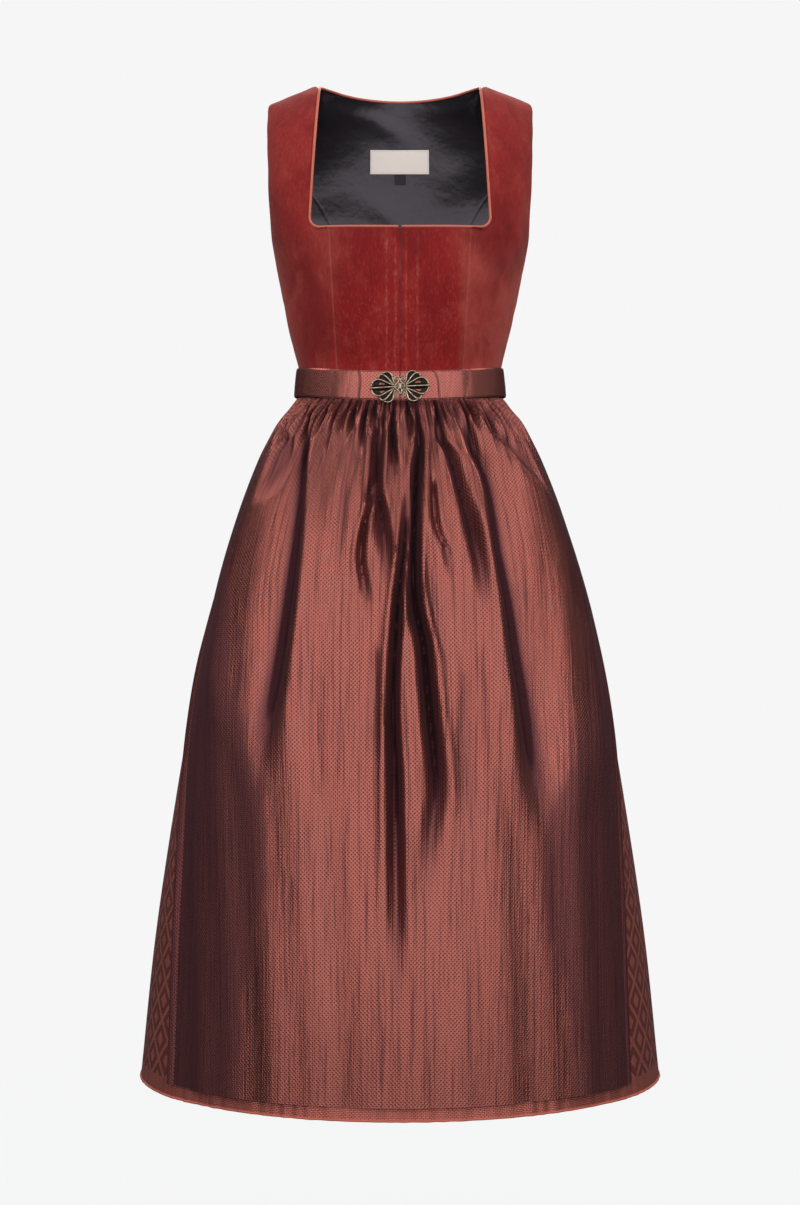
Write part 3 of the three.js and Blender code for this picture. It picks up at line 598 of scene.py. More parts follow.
def creaseDepth(points, creases):
    x, z = points[..., 0], points[..., 2]
    total = np.zeros(x.shape)
    for x1, z1, x2, z2, depth, width in creases:
        dx, dz = x2 - x1, z2 - z1
        share = clamp(((x - x1) * dx + (z - z1) * dz) / (dx * dx + dz * dz))
        away = np.hypot(x - x1 - share * dx, z - z1 - share * dz)
        swell = 0.55 + 0.45 * np.sin(math.pi * (0.15 + 0.7 * share))  # deepest in the middle
        total += 1.5 * depth * swell * np.exp(-(away / width) ** 2)
    return total


def soften(points, normals, salt):  # the cloth's own unevenness
    x, y, z = points[..., 0], points[..., 1], points[..., 2]
    wave = 0.35 * np.sin(x / 17 + z / 29 + salt) + 0.3 * np.sin(z / 13 - x / 41 + 2.3 * salt)
    return points + normals * (wave + 0.18 * np.sin(x / 6.1 + y / 9 + z / 7.3 + salt))[..., None]


def turnedEdges(points, normals, sides, deep=0.9, width=1.7):  # cloth rolls in along a seam or a folded edge
    lift = np.zeros(points.shape[:2])
    first, last = fromEdges(points, 1)
    lower, upper = fromEdges(points, 0)
    for side, away in (("first", first), ("last", last), ("lower", lower), ("upper", upper)):
        if side in sides:
            lift -= sides[side] * deep * np.exp(-(away / width) ** 2)
    return points + normals * lift[..., None]


def bodiceChart(points):
    return np.stack([lengthAlong(points, 1), points[..., 2]], -1)


def mirror(points):
    return points * np.array([-1, 1, 1])


lining = {"in": 1.8, "wall": 1.0, "fold": 2.4, "foldAtLabel": 0.5, "toLabel": 0.9}


def velvetPiece(name, solid, points, sides, salt, creases=()):
    normals = outwardNormals(points)
    points = soften(turnedEdges(points, normals, sides), normals, salt)
    points = points - normals * creaseDepth(points, creases)[..., None]
    clothPiece(name, solid, "velvet", points, bodiceChart(points), bodice["wall"])


def liningPiece(name, solid, points, sides):
    normals = outwardNormals(points)
    points = turnedEdges(points, normals, sides)
    x, z = points[..., 0], points[..., 2]
    fold = 0.5 + 0.5 * np.sin(z / 13 + x / 34 + 1.1 * np.sin(x / 27) + 0.8 * np.sin(z / 31))
    clear = np.exp(-(x / 52) ** 4 - ((z + 80) / 38) ** 4)  # flatter behind the label
    depth = mix(lining["fold"], lining["foldAtLabel"], clear) * fold ** 2
    depth = lining["in"] + depth * ease(0, 25, fromEdges(points, 0)[1])
    points = points - normals * depth[..., None]
    clothPiece(name, solid, "lining", points, bodiceChart(points), lining["wall"])


def frontCentre(sign):
    height = np.linspace(bodice["waist"], bodice["neck"], 90)[:, None]
    inner = turnAt(0.36, height)
    turn = mix(inner, turnAt(princessAcross(height), height) - seamTurn(height), both(64)[None, :])
    points = bodicePoint("front", turn, height + 0 * turn)
    return points if sign > 0 else mirror(points)


def frontSide(sign):
    lower = np.linspace(bodice["waist"], bodice["neck"], 80)[:-1]
    innerX, innerClimb = neckPath(130)
    outerClimb = np.linspace(bodice["neck"], climbOf(-0.001), 130)
    innerHeight = levelOf(innerClimb)[0]
    seam = turnAt(princessAcross(lower), lower) + seamTurn(lower)
    inner = np.concatenate([seam, turnAt(innerX, innerHeight)])
    outer = np.concatenate([edgeTurn(lower), edgeTurn(levelOf(outerClimb)[0])])
    climbIn = np.concatenate([lower, innerClimb])
    climbOut = np.concatenate([lower, outerClimb])
    share = both(64)[None, :]
    turn = mix(inner[:, None], outer[:, None], share)
    points = bodicePoint("front", turn, mix(climbIn[:, None], climbOut[:, None], share))
    return points if sign > 0 else mirror(points)


def backMiddle(rows, columns):  # columns on each side of the centre back
    share = np.concatenate([-both(columns)[::-1], both(columns)[1:]])[None, :]
    share = np.sign(share) * np.abs(share) ** 0.95
    top = climbOf(backTop(share))
    climb = mix(climbOf(bodice["waist"]), top, np.linspace(0, 1, rows)[:, None] ** 0.97)
    height = levelOf(climb)[0]
    limit = backSeamShare(height) - seamTurn(height) / (math.pi / 2)
    return bodicePoint("back", share * limit * edgeTurn(height), climb)


def sideBack(sign):
    climb = np.linspace(bodice["waist"], climbOf(bodice["backSeamTop"] - 3), 120)[:, None]
    height = levelOf(climb)[0]
    start = backSeamShare(height) * edgeTurn(height) + seamTurn(height)
    turn = mix(start, edgeTurn(height) - seamTurn(height), both(36)[None, :])
    points = bodicePoint("back", turn, climb + 0 * turn)
    return points if sign > 0 else mirror(points)


for hand, sign in (("right", 1), ("left", -1)):
    velvetPiece("velvet_front_centre_" + hand, "bodice_front_centre_" + hand, frontCentre(sign),
                {"first": 0.4, "last": 1, "upper": 0.5}, 1.0, frontCreases)
    velvetPiece("velvet_front_side_" + hand, "bodice_front_side_" + hand, frontSide(sign),
                {"first": 1, "last": 1, "upper": 0.6}, 1.0, frontCreases)
    velvetPiece("velvet_side_back_" + hand, "bodice_side_back_" + hand, sideBack(sign),
                {"first": 1, "last": 1}, 2.0)
    liningPiece("satin_side_back_" + hand, "lining_side_back_" + hand, sideBack(sign),
                {"first": 0.5, "last": 0.3})
velvetPiece("velvet_back", "bodice_back", backMiddle(160, 95), {"first": 1, "last": 1, "upper": 0.6}, 2.0)
liningPiece("satin_back", "lining_back", backMiddle(120, 75), {"first": 0.5, "last": 0.5})
print("bodice and lining made")

# Neck piping, label and tab

piping = {
    "radius": 1.6, "clear": 0.3, "clearBack": -0.5, "frontIn": 0.75, "backIn": 1.4,
    "backStart": 0.4145, "smooth": 17,
}


def neckEdge():  # points of the front's edge and the back's edge, with their surface normals
    x, climb = neckPath(150)
    flat = np.linspace(2, 80, 50)
    x = np.concatenate([flat, x])
    climb = np.concatenate([np.full(50, bodice["neck"]), climb])
    height = levelOf(climb)[0]
    turn = turnAt(x, height)
    front = bodicePoint("front", turn, climb)
    share = np.linspace(piping["backStart"], 0, 70)[1:]
    backHeight = backTop(share)
    backClimb = climbOf(backHeight)
    backTurn = share * edgeTurn(backHeight)
    back = bodicePoint("back", backTurn, backClimb)

    def normal(side, turn, climb):
        beside = bodicePoint(side, turn + 0.01, climb) - bodicePoint(side, turn - 0.01, climb)
        above = bodicePoint(side, turn, climb) - bodicePoint(side, turn, climb - 2)
        return unit(np.cross(beside, above))

    frontNormal = normal("front", turn, climb)
    backNormal = -normal("back", backTurn, backClimb)
    path = np.concatenate([front - piping["frontIn"] * frontNormal, back - piping["backIn"] * backNormal])
    return path, np.concatenate([frontNormal, backNormal])


def neckPiping():
    path, normals = neckEdge()
    away = unit(np.cross(normals, unit(np.gradient(path, axis=0))))
    inward = away[:, 2] - away[:, 0] * path[:, 0] / bodice["neckHalf"]
    away *= np.where(inward < 0, -1, 1)[:, None]
    clear = np.where(normals[:, 1] > 0.2, piping["clearBack"], piping["clear"])[:, None]
    path = path + away * (piping["radius"] + clear)
    kernel = np.ones(piping["smooth"]) / piping["smooth"]
    beyond = piping["smooth"] // 2
    padded = np.pad(path, ((beyond, beyond), (0, 0)), mode="edge")
    smooth = np.stack([np.convolve(padded[:, k], kernel, "valid") for k in range(3)], -1)
    share = (1 - ease(12, 30, np.abs(path[:, 2])))[:, None] * ease(60, 85, np.abs(path[:, :1]))
    smooth = mix(path, smooth, share)
    whole = np.concatenate([smooth, mirror(smooth)[::-1][1:]])
    side = np.concatenate([normals, mirror(normals)[::-1][1:]])
    return tube("coral_neck_piping", whole, side, piping["radius"], finishes["piping"])


wear(neckPiping(), "neck_piping")


def onLining(name, solid, slot, size, rows, columns):
    x = np.linspace(size["from"], size["to"], columns)[None, :]
    height = np.linspace(size["bottom"], size["top"], rows)[:, None]
    x, height = x + 0 * height, height + 0 * x
    points = bodicePoint("back", np.sign(x) * turnAt(np.abs(x), height), climbOf(height))
    inside = lining["in"] + lining["wall"] + lining["toLabel"]
    inside = inside + 0.25 * np.sin(x / 9) * ease(0, 12, height - size["bottom"])
    points = points - outwardNormals(points) * inside[..., None]
    clothPiece(name, solid, slot, points, np.stack([x, height], -1), size["wall"])


onLining("cream_label", "neck_label", "label", neckLabel, 24, 60)
onLining("black_tab", "size_tab", "tab", sizeTab, 16, 16)
print("piping, label and tab made")

# Skirt and apron form

skirtSections = {
    "height": [-1180, -1025, -881, -737, -641, -593, -545, -497, -449, -425, -401, -389, -374, -362],
    "half": [309, 293, 272, 247, 226, 214, 200, 184, 165, 153, 139, 130, 121, 119.5],
    "front": [300, 281, 256, 223, 198, 184, 169, 152, 132, 121, 107, 99, 91, 89],
    "back": [305, 286, 262, 231, 207, 193, 177, 158, 136, 122, 107, 98, 88, 86],
    "power": [2, 2.02, 2.15, 2.45, 2.6, 2.65, 2.6, 2.5, 2.3, 2.2, 2.1, 2.05, 2, 2],
}
skirt = {"waist": -361.5, "hem": -1180, "wall": 1.2, "seam": -0.3, "clothHalf": 475, "rippleHalf": 480}
apron = {
    "bandTop": -340, "bandHeight": 34, "dip": 11, "hem": -1166, "half": 306, "side": math.radians(88),
    "lift": 4, "wall": 0.9, "columns": 330, "rows": 136, "soft": 0.12, "sideHem": 9,
    "clothHalf": 325, "puff": 2.0, "stitch": 0.9, "edge": 1.2, "curl": (4.6, 1.2),
}
# Troughs in the cloth: places down each one (across, height), its depth, and its width to the left and right.
apronTroughs = [
    ([(-101, -385), (-115, -451), (-119, -498), (-125, -565), (-133, -632), (-142, -697), (-150, -752),
      (-159, -840)], 22, 34, 12),
    ([(-26, -385), (-26, -429), (-27, -490), (-22, -512), (-19, -539), (-16, -570), (-14, -610)], 12, 7, 6),
    ([(-31, -470), (-35, -508), (-42, -539), (-45, -570), (-40, -605), (-37, -640)], 8, 4, 5),
    ([(9, -450), (7, -512), (5, -552), (2, -579), (-2, -622), (-5, -665), (-7, -708), (-7, -750),
      (-4, -816), (-3, -915), (-1, -1030)], 14, 7, 6),
    ([(22, -385), (23, -434), (20, -459), (17, -512), (15, -579), (17, -622), (26, -665), (30, -708),
      (34, -750), (40, -826), (34, -880), (28, -977)], 18, 8, 8),
    ([(30, -560), (34, -605), (41, -644), (49, -672), (66, -700)], 3, 5, 6),
    ([(37, -470), (39, -519), (43, -541), (52, -561), (58, -600)], 6, 4, 5),
    ([(39, -385), (44, -429), (55, -445), (64, -474), (72, -503), (79, -528), (85, -552), (91, -578),
      (95, -640)], 12, 7, 8),
    ([(-10, -395), (-9, -429), (-6, -455), (0, -480)], 6, 3, 4),
    ([(10, -390), (12, -416), (12, -445)], 5, 3, 3),
    ([(68, -383), (85, -439), (102, -476), (111, -521), (117, -565), (128, -618), (137, -680),
      (145, -729), (152, -807), (163, -900)], 25, 12, 48),
    ([(95, -380), (107, -419), (126, -436), (154, -469), (180, -500)], 8, 8, 11),
    ([(-137, -392), (-131, -436), (-144, -472), (-160, -510)], 7, 9, 8),
    ([(-82, -380), (-86, -432), (-89, -479), (-93, -545)], 2, 6, 6),
    ([(-64, -380), (-67, -433), (-63, -490)], 2.5, 5, 5),
    ([(-52, -380), (-55, -445), (-65, -503), (-70, -600)], 3, 6, 6),
    ([(-29, -660), (-28, -708), (-30, -750), (-33, -810)], 2.5, 8, 8),
    ([(120, -384), (140, -420), (158, -450), (176, -476)], 4, 6, 7),
    ([(-9, -690), (-10, -800), (-7, -900), (-3, -1000), (-2, -1100)], 6, 8, 8),
    ([(74, -680), (74, -729), (73, -772), (83, -898)], 3, 10, 10),
]
# A trough's flanks rise a little. One with a side wider than broad spreads as it goes down, and one as deep
# as the shade depth is fully darkened by painted shade.
troughForm = {"flank": 0.25, "flankAt": 2, "round": 1.7, "broad": 30, "paintedShade": 12}
# Inner limits of the painted plum shade down both sides, where the cloth turns from the light, as distance
# across at each height.
apronShade = {
    "height": [-1150, -1059, -1002, -903, -832, -804, -761, -682, -623, -571, -493, -430],
    "left": [179, 167, 155, 147, 144, 154, 171, 186, 193, 197, 182, 162],
    "right": [191, 179, 164, 159, 174, 188, 205, 220, 220, 214, 194, 176],
    "shareLeft": 0.68, "shareRight": 0.58, "soft": 9,
}
apronGathers = [
    {"count": 36, "depth": 6.2, "length": 66, "salt": 1},
    {"count": 61, "depth": 2.4, "length": 30, "salt": 5},
]
skirtGathers = [
    {"count": 36, "depth": 3.6, "length": 75, "salt": 2},
    {"count": 57, "depth": 1.3, "length": 36, "salt": 6},
]
# Depths and lengths are shares of a set's own, and widths are in pitches. Swell goes from the top down.
gatherForm = {
    "stray": 0.5, "depths": (0.65, 1.15), "lengths": (0.4, 1.5), "widths": (0.26, 0.55), "swell": (0.9, 1.5),
    "crest": 0.32, "crestAt": 1.8,
}
backFolds = {
    "count": 13, "depth": 11, "width": 15, "salt": 3, "stray": 0.6, "depths": (0.5, 1.2),
    "widths": (0.7, 1.4), "ends": (-800, -1300), "spread": (0.5, 1.5), "flank": 0.3, "flankAt": 2,
}


def skirtPoint(around, height, out):  # around is 0 at the centre front
    half = along(skirtSections, "half", height)
    power = along(skirtSections, "power", height)
    sine, cosine = np.sin(around), np.cos(around)
    deep = np.where(cosine >= 0, along(skirtSections, "front", height), along(skirtSections, "back", height))
    full = (np.abs(sine) ** power + np.abs(cosine) ** power) ** (-1 / power)
    wayX = np.sign(sine) * np.abs(sine * full) ** (power - 1) / half
    wayY = -np.sign(cosine) * np.abs(cosine * full) ** (power - 1) / deep
    size = np.hypot(wayX, wayY)
    x = half * sine * full + wayX / size * out
    y = -deep * cosine * full + wayY / size * out
    return np.stack(np.broadcast_arrays(x, y, height), -1)


def apronEdge(height):
    radius = (along(skirtSections, "half", height) + along(skirtSections, "front", height)) / 2
    reach = apron["half"] / radius
    return apron["side"] - apron["soft"] * np.log1p(np.exp((apron["side"] - reach) / apron["soft"]))


def troughs(x, height):  # how far the troughs sink the cloth, and how much painted shade darkens them
    total = np.zeros(np.broadcast(x, height).shape)
    paintedShade = total.copy()
    atSide = 1 - ease(0.88, 0.99, np.abs(x) / along(skirtSections, "half", height))
    for places, depth, left, right in apronTroughs:
        line = {"height": [z for _, z in places][::-1], "across": [a for a, _ in places][::-1]}
        down = (places[0][1] - height) / (places[0][1] - places[-1][1])
        swell = ease(0, 0.18, down) * (1 - ease(0.6, 1, down))
        off = x - along(line, "across", height)
        wide = np.where(off < 0, left, right)
        broad = mix(0.2, 1.15, ease(0, 0.45, down)) * (1 - 0.75 * ease(0.6, 1, down))
        taper = np.where(wide > troughForm["broad"], broad, mix(0.5, 1.15, clamp(down)))
        narrow = min(left, right) * mix(0.5, 1.1, clamp(down))
        # painted shade, strongest down the middle of deep troughs
        paintedShade = np.maximum(paintedShade, depth / troughForm["paintedShade"] * swell * np.exp(-(off / narrow) ** 2))
        off = off / (wide * taper)
        flank = troughForm["flank"] * np.exp(-((np.abs(off) - troughForm["flankAt"]) ** 2) * 1.2)
        total -= depth * swell * (np.exp(-np.abs(off) ** troughForm["round"]) - flank)
    return total * atSide, clamp(paintedShade * atSide)


def sideShade(x, height):  # 1 well inside the painted plum shade, with a fringed edge along the threads
    limit = np.where(x < 0, along(apronShade, "left", height), along(apronShade, "right", height))
    fringe = 5 * np.sin(x / 2.9 + 2.1 * np.sin(x / 11))
    fringe = fringe + 4 * np.sin(height / 23 + x / 7) + 3 * np.sin(height / 9 - x / 5)
    share = np.where(x < 0, apronShade["shareLeft"], apronShade["shareRight"])
    soft = apronShade["soft"]
    return share * ease(-soft, 1.6 * soft, np.abs(x) - limit + fringe) * ease(-425, -470, height)


def gathered(sets, across, down):
    total = np.zeros(np.broadcast(across, down).shape)
    paintedShade = total.copy()
    for gathers in sets:
        salt = gathers["salt"]
        for i in range(gathers["count"]):
            at = -1 + 2 * (i + 0.5 + gatherForm["stray"] * (uneven(i, salt) - 0.5)) / gathers["count"]
            depth = gathers["depth"] * mix(*gatherForm["depths"], uneven(i, salt + 10))
            length = gathers["length"] * mix(*gatherForm["lengths"], uneven(i, salt + 20) ** 2)
            width = mix(*gatherForm["widths"], ease(0, length, down)) / gathers["count"]
            off = (across - at) / width
            swell = mix(*gatherForm["swell"], ease(0, 0.35 * length, down))
            fade = 1 - ease(0.3 * length, 1.6 * length, down)
            dent = fade * np.exp(-np.abs(off) ** 1.35)
            crest = gatherForm["crest"] * fade * np.exp(-1.5 * (np.abs(off) - gatherForm["crestAt"]) ** 2)
            total -= depth * swell * ease(-3, 4, down) * (dent - crest)
            # painted shade down each gather's slit
            paintedShade = np.maximum(paintedShade, dent ** 1.3 * depth / 3.9)
    return total, clamp(paintedShade)


def bandDip(around):
    return apron["dip"] * np.maximum(0, np.cos(around)) ** 2


def apronSheet():
    across = np.linspace(-1, 1, apron["columns"])[None, :]
    share = np.linspace(0, 1, apron["rows"])[::-1, None] ** 1.25
    top = apron["bandTop"] - apron["bandHeight"] - 0.3 - bandDip(across * apron["side"])
    height = mix(top, apron["hem"], share)
    around = across * apronEdge(height)
    down = top - height
    belly = (1.5 * np.sin(9 * across + 0.6) + 1.2 * np.sin(17 * across + 2.1)
             + 0.8 * np.sin(37 * across + 1.3 + 1.6 * np.sin(height / 150)))
    puff = apron["puff"] * ease(0, 9, down) * (1 - ease(16, 60, down))
    puff = puff * (1 - 0.6 * ease(0.7, 0.95, np.abs(across)))
    base = skirtPoint(around, height, 0)[..., 0]
    troughDepth, paintedShade = troughs(base, height)
    gatherDepth, slitShade = gathered(apronGathers, across, down)
    lift = (mix(1.5, apron["lift"], ease(0, 40, down)) + puff + troughDepth
            + gatherDepth * (1 - 0.7 * ease(0.75, 0.95, np.abs(across))) + belly * ease(80, 260, down))
    fromSide = (1 - np.abs(across)) * apron["half"]
    stitched = apron["stitch"] * np.exp(-((fromSide - apron["sideHem"]) / 1.6) ** 2)
    lift = lift - stitched - apron["edge"] * np.exp(-(fromSide / 1.5) ** 2)
    curl = np.where(across < 0, *apron["curl"]) * ease(200, 330, down)
    lift = lift + curl * clamp(1 - fromSide / apron["sideHem"])
    points = skirtPoint(around, height, lift)
    chart = np.stack(np.broadcast_arrays(across * apron["clothHalf"], height), -1)
    # painted shade in troughs and slits, and a painted shadow along the top just under the band
    paintedShade = np.maximum(np.maximum(paintedShade, 0.95 * slitShade), 0.2 * (1 - ease(0, 5, down)))
    # painted shade on both sides, where the cloth turns from the light
    return points, chart, np.maximum(paintedShade, sideShade(points[..., 0], height + 0 * across))


def backFoldDepth(across, height):
    reach = math.pi / 2 * along(skirtSections, "half", height)
    total = np.zeros(np.broadcast(across, height).shape)
    for i in range(backFolds["count"]):
        salt = backFolds["salt"]
        at = -1 + 2 * (i + 0.5 + backFolds["stray"] * (uneven(i, salt) - 0.5)) / backFolds["count"]
        depth = backFolds["depth"] * mix(*backFolds["depths"], uneven(i, salt + 10))
        width = backFolds["width"] * mix(*backFolds["widths"], uneven(i, salt + 20))
        end = mix(*backFolds["ends"], uneven(i, salt + 30))
        down = (skirt["waist"] - height) / (skirt["waist"] - end)
        off = (across - at) * reach / (width * mix(*backFolds["spread"], down))
        swell = ease(0.06, 0.3, down) * (1 - 0.85 * ease(0.45, 1, down))
        flank = backFolds["flank"] * np.exp(-((np.abs(off) - backFolds["flankAt"]) ** 2))
        total -= depth * swell * (np.exp(-off * off) - flank)
    return total


def frontOut(across, height):
    down = skirt["waist"] - height
    onApron = across * math.pi / 2 / apronEdge(height)
    free = ease(140, 290, down)
    covered = 1 - ease(mix(0.96, 0.8, free), mix(1.12, 1, free), np.abs(onApron))
    under = -mix(5, 10, ease(0, 45, down)) * covered * mix(1, 0.3, ease(450, 720, down))
    return under + covered * troughs(skirtPoint(across * math.pi / 2, height, 0)[..., 0], height)[0]


def backOut(across, height):
    down = skirt["waist"] - height
    own = backFoldDepth(across, height) + gathered(skirtGathers, across, down)[0] * ease(0, 5, down)
    own = mix(own, np.minimum(own, 0), ease(0.6, 0.8, np.abs(across)))
    return mix(own, frontOut(np.sign(across) + 0 * height, height), ease(0.9, 1, np.abs(across)))


def skirtSheet(side, rows, columns):
    across = np.linspace(-1, 1, columns)[None, :]
    height = mix(skirt["waist"] - 0.3, skirt["hem"], np.linspace(0, 1, rows)[::-1, None] ** 1.2)
    around = across * (math.pi / 2 - skirt["seam"] / 2 / along(skirtSections, "half", height))
    turned = around if side == "front" else math.pi - around
    out = frontOut(across, height) if side == "front" else backOut(across, height)
    reach = across * skirt["rippleHalf"]
    ripple = 0.9 * np.sin(reach / 4.3 + 2.2 * np.sin(reach / 31)) * np.sin(reach / 19 + 0.7)
    ripple = ripple + 0.5 * np.sin(reach / 2.6 + 1.9 * np.sin(reach / 23))
    uneasy = mix(0.3, 1.4, np.sin(reach / 47 + 0.9) ** 2) * (1 - 0.7 * ease(0.5, 0.75, np.abs(across)))
    out = out + uneasy * ripple * ease(40, 6, height - skirt["hem"])
    points = skirtPoint(turned, height + 0 * across, out)
    return points, np.stack(np.broadcast_arrays(across * skirt["clothHalf"], height), -1)


apronPoints, chart, paintedShade = apronSheet()
clothPiece("taffeta_apron", "apron_panel", "apron", apronPoints, chart, apron["wall"], paintedShade=paintedShade)
frontPoints, chart = skirtSheet("front", 90, 300)
clothPiece("jacquard_skirt_front", "skirt_front", "skirt", frontPoints, chart, skirt["wall"])
backPoints, chart = skirtSheet("back", 130, 280)
clothPiece("jacquard_skirt_back", "skirt_back", "skirt", backPoints, chart, skirt["wall"])
print("apron and skirt made")

# Hem piping and waistband

hem = {"radius": 1.4, "drop": 1.0, "out": 0.1}


def lowestRow(points):
    return points[0] if points[0, 0, 2] < points[-1, 0, 2] else points[-1]


def hemPiping():
    path = np.concatenate([lowestRow(frontPoints)[1:-1], lowestRow(backPoints)[::-1][1:-1]])
    flat = np.concatenate([path, path[:1]]) * np.array([1, 1, 0])
    path = flat * (1 + hem["out"] / np.linalg.norm(flat, axis=1, keepdims=True))
    path[:, 2] = skirt["hem"] - hem["drop"]
    return tube("coral_hem_piping", path, unit(flat), hem["radius"], finishes["piping"], ring=True, facets=10)


wear(hemPiping(), "hem_piping")

band = {
    "height": [-374, -340], "half": [127.6, 124.4], "front": [98.6, 95.2], "back": [94.5, 91.5],
    "wall": 1.2, "opening": 0.004, "clothRadius": 112, "puff": 0.5, "in": 0.4,
}
# Creases pressed into the band: across at its top and bottom, depth and width.
bandCreases = [
    (-49, -47, 0.8, 1.0), (40, 48.5, 0.8, 1.0), (-78, -80, 0.12, 2.0), (80, 78, 0.12, 2.0),
    (60, 57, 0.15, 1.5), (-58, -62, 0.15, 1.6),
]


def bandSheet():
    around = np.linspace(band["opening"], 2 * math.pi - band["opening"], 640)[None, :]
    share = both(26)[::-1, None]
    level = apron["bandTop"] - apron["bandHeight"] * share
    half = along(band, "half", level)
    deep = np.where(np.cos(around) >= 0, along(band, "front", level), along(band, "back", level))
    x, y = half * np.sin(around), -deep * np.cos(around)
    points = np.stack(np.broadcast_arrays(x, y, level - bandDip(around)), -1)
    normals = outwardNormals(points)
    lift = 0.12 * np.sin(around * 23 + 3 * share) + 0.05 * np.sin(around * 51 + 1.7)
    front = ease(0.2, 0.6, np.cos(around))
    paintedShade = np.zeros(x.shape)
    for topX, bottomX, depth, width in bandCreases:
        crack = front * np.exp(-((x - mix(topX, bottomX, share) - 1.3 * np.sin(share * 5)) / width) ** 2)
        lift = lift - depth * crack
        # painted shade along each crease, kept for the band's finish
        paintedShade = np.maximum(paintedShade, depth * crack)
    puff = band["puff"] * np.sin(math.pi * share) ** 0.7
    points = points + normals * (lift + puff - band["in"])[..., None]
    points = turnedEdges(points, normals, {"lower": 0.8, "upper": 0.8}, 0.7, 1.2)
    chart = np.stack(np.broadcast_arrays(around * band["clothRadius"], level), -1)
    return points, chart, paintedShade


points, chart, paintedShade = bandSheet()
clothPiece("taffeta_band", "apron_band", "apron", points, chart, band["wall"], "band", paintedShade)
print("band and hem made")

# Clasp

clasp = {
    "back": 97.7, "centre": -369.3, "lean": 0.1, "round": 420.0, "tilt": math.radians(3), "wire": 0.78,
    "steps": 40,
}
# One quarter of a wing: ribs as (across, up), from the centre out.
claspRibs = [
    [(7.0, 1.6), (9.8, 3.0), (15.6, 5.8), (21.2, 8.7), (26.0, 9.6), (30.0, 7.6), (32.5, 4.4), (33.0, 1.6)],
    [(7.0, 2.2), (9.3, 4.9), (12.3, 8.8), (16.0, 12.8), (20.0, 15.0), (23.0, 14.0), (24.2, 11.0)],
    [(6.6, 4.0), (8.0, 9.8), (8.8, 13.6), (11.2, 16.6), (15.0, 17.6), (19.5, 16.4)],
]
claspSpike = [(3.0, 0), (10, 0), (20, 0), (30, 0), (36.4, 0)]


def stoodUp(points):  # flat clasp places (across, up, out) stood against the band
    across, up, out = points[..., 0], points[..., 1], points[..., 2]
    c, s = math.cos(clasp["tilt"]), math.sin(clasp["tilt"])
    x, z = across * c - up * s, across * s + up * c
    y = -(clasp["back"] + out - x ** 2 / clasp["round"] - clasp["lean"] * z)
    return np.stack([x, y, clasp["centre"] + z], -1)


def smoothPath(places, count):  # a round curve through a few places
    places = np.array(places, float)
    run = np.concatenate([[0], np.cumsum(np.linalg.norm(np.diff(places, axis=0), axis=1))])
    slope = np.gradient(places, run, axis=0)
    at = np.linspace(0, run[-1], count)
    k = np.clip(np.searchsorted(run, at, side="right") - 1, 0, len(run) - 2)
    span = (run[k + 1] - run[k])[:, None]
    t = (at[:, None] - run[k][:, None]) / span
    h = [2 * t ** 3 - 3 * t ** 2 + 1, t ** 3 - 2 * t ** 2 + t, -2 * t ** 3 + 3 * t ** 2, t ** 3 - t ** 2]
    return h[0] * places[k] + span * h[1] * slope[k] + h[2] * places[k + 1] + span * h[3] * slope[k + 1]


def bentTube(name, flat, radius):  # a wire along flat clasp places
    away = np.tile([0.0, -1.0, 0.0], (clasp["steps"], 1))
    return tube(name, stoodUp(flat), away, radius, finishes["clasp"], facets=8)


def wire(path, radius, out, sign):
    flat = smoothPath(path, clasp["steps"]) * np.array(sign)
    return bentTube("wire", np.column_stack([flat, np.broadcast_to(out, clasp["steps"])]), radius)


# Dark metal from one line to another: its darkness is partly oxide and partly painted shade between the
# wires. A level is a share of the way across and a place out.
def recess(name, outer, inner, levels, sign):
    points = []
    for share, out in levels:
        flat = mix(outer, inner, share) * np.array(sign)
        points.append(np.column_stack([flat, np.full(len(flat), out)]))
    points = stoodUp(np.stack(points))
    return thicken(gridMesh(name, points, np.zeros((*points.shape[:2], 2)), finishes["recess"]), 0.5, 60)


def cup(rib, sign):  # the hollow beside the lowest rib
    flat = np.concatenate([smoothPath(rib, clasp["steps"]), np.linspace(rib[-1], rib[0], 21)[1:]])
    return recess("cup", flat, flat.mean(axis=0), ((0.0, 1.5), (0.12, 0.9), (0.66, 0.5)), sign)


def web(rib, under, sign):  # the hollow between a rib and most of the one nearer the spike
    beside = smoothPath(under, 200)[np.linspace(0, 0.74 * 199, clasp["steps"]).astype(int)]
    flat = smoothPath(rib, clasp["steps"])
    return recess("web", flat, beside, ((0.0, 1.4), (0.3, 0.75), (0.7, 0.75), (1.0, 1.4)), sign)


def join(parts, name):
    bpy.ops.object.select_all(action="DESELECT")
    for part in parts:
        part.select_set(True)
    bpy.context.view_layer.objects.active = parts[0]
    bpy.ops.object.join()
    parts[0].name = parts[0].data.name = name
    return parts[0]


def claspWing(sign, name):
    parts = []
    share = np.linspace(0, 1, clasp["steps"])
    for up in (1, -1):
        for n, rib in enumerate(claspRibs):
            radius = clasp["wire"] * mix(0.75, 1.1, np.sin(math.pi * share) ** 0.6)
            parts.append(wire(rib, radius, 1.3 + 1.1 * np.sin(math.pi * share * 0.85), (sign, up)))
            parts.append(web(rib, claspRibs[n - 1], (sign, up)) if n else cup(rib, (sign, up)))
    spike = 0.95 * mix(0.75, 1.0, np.sin(math.pi * share)) * mix(1, 0.55, ease(0.9, 1, share))
    parts.append(wire(claspSpike, spike, 1.6 + 0.6 * share, (sign, 1)))
    return join(parts, name)


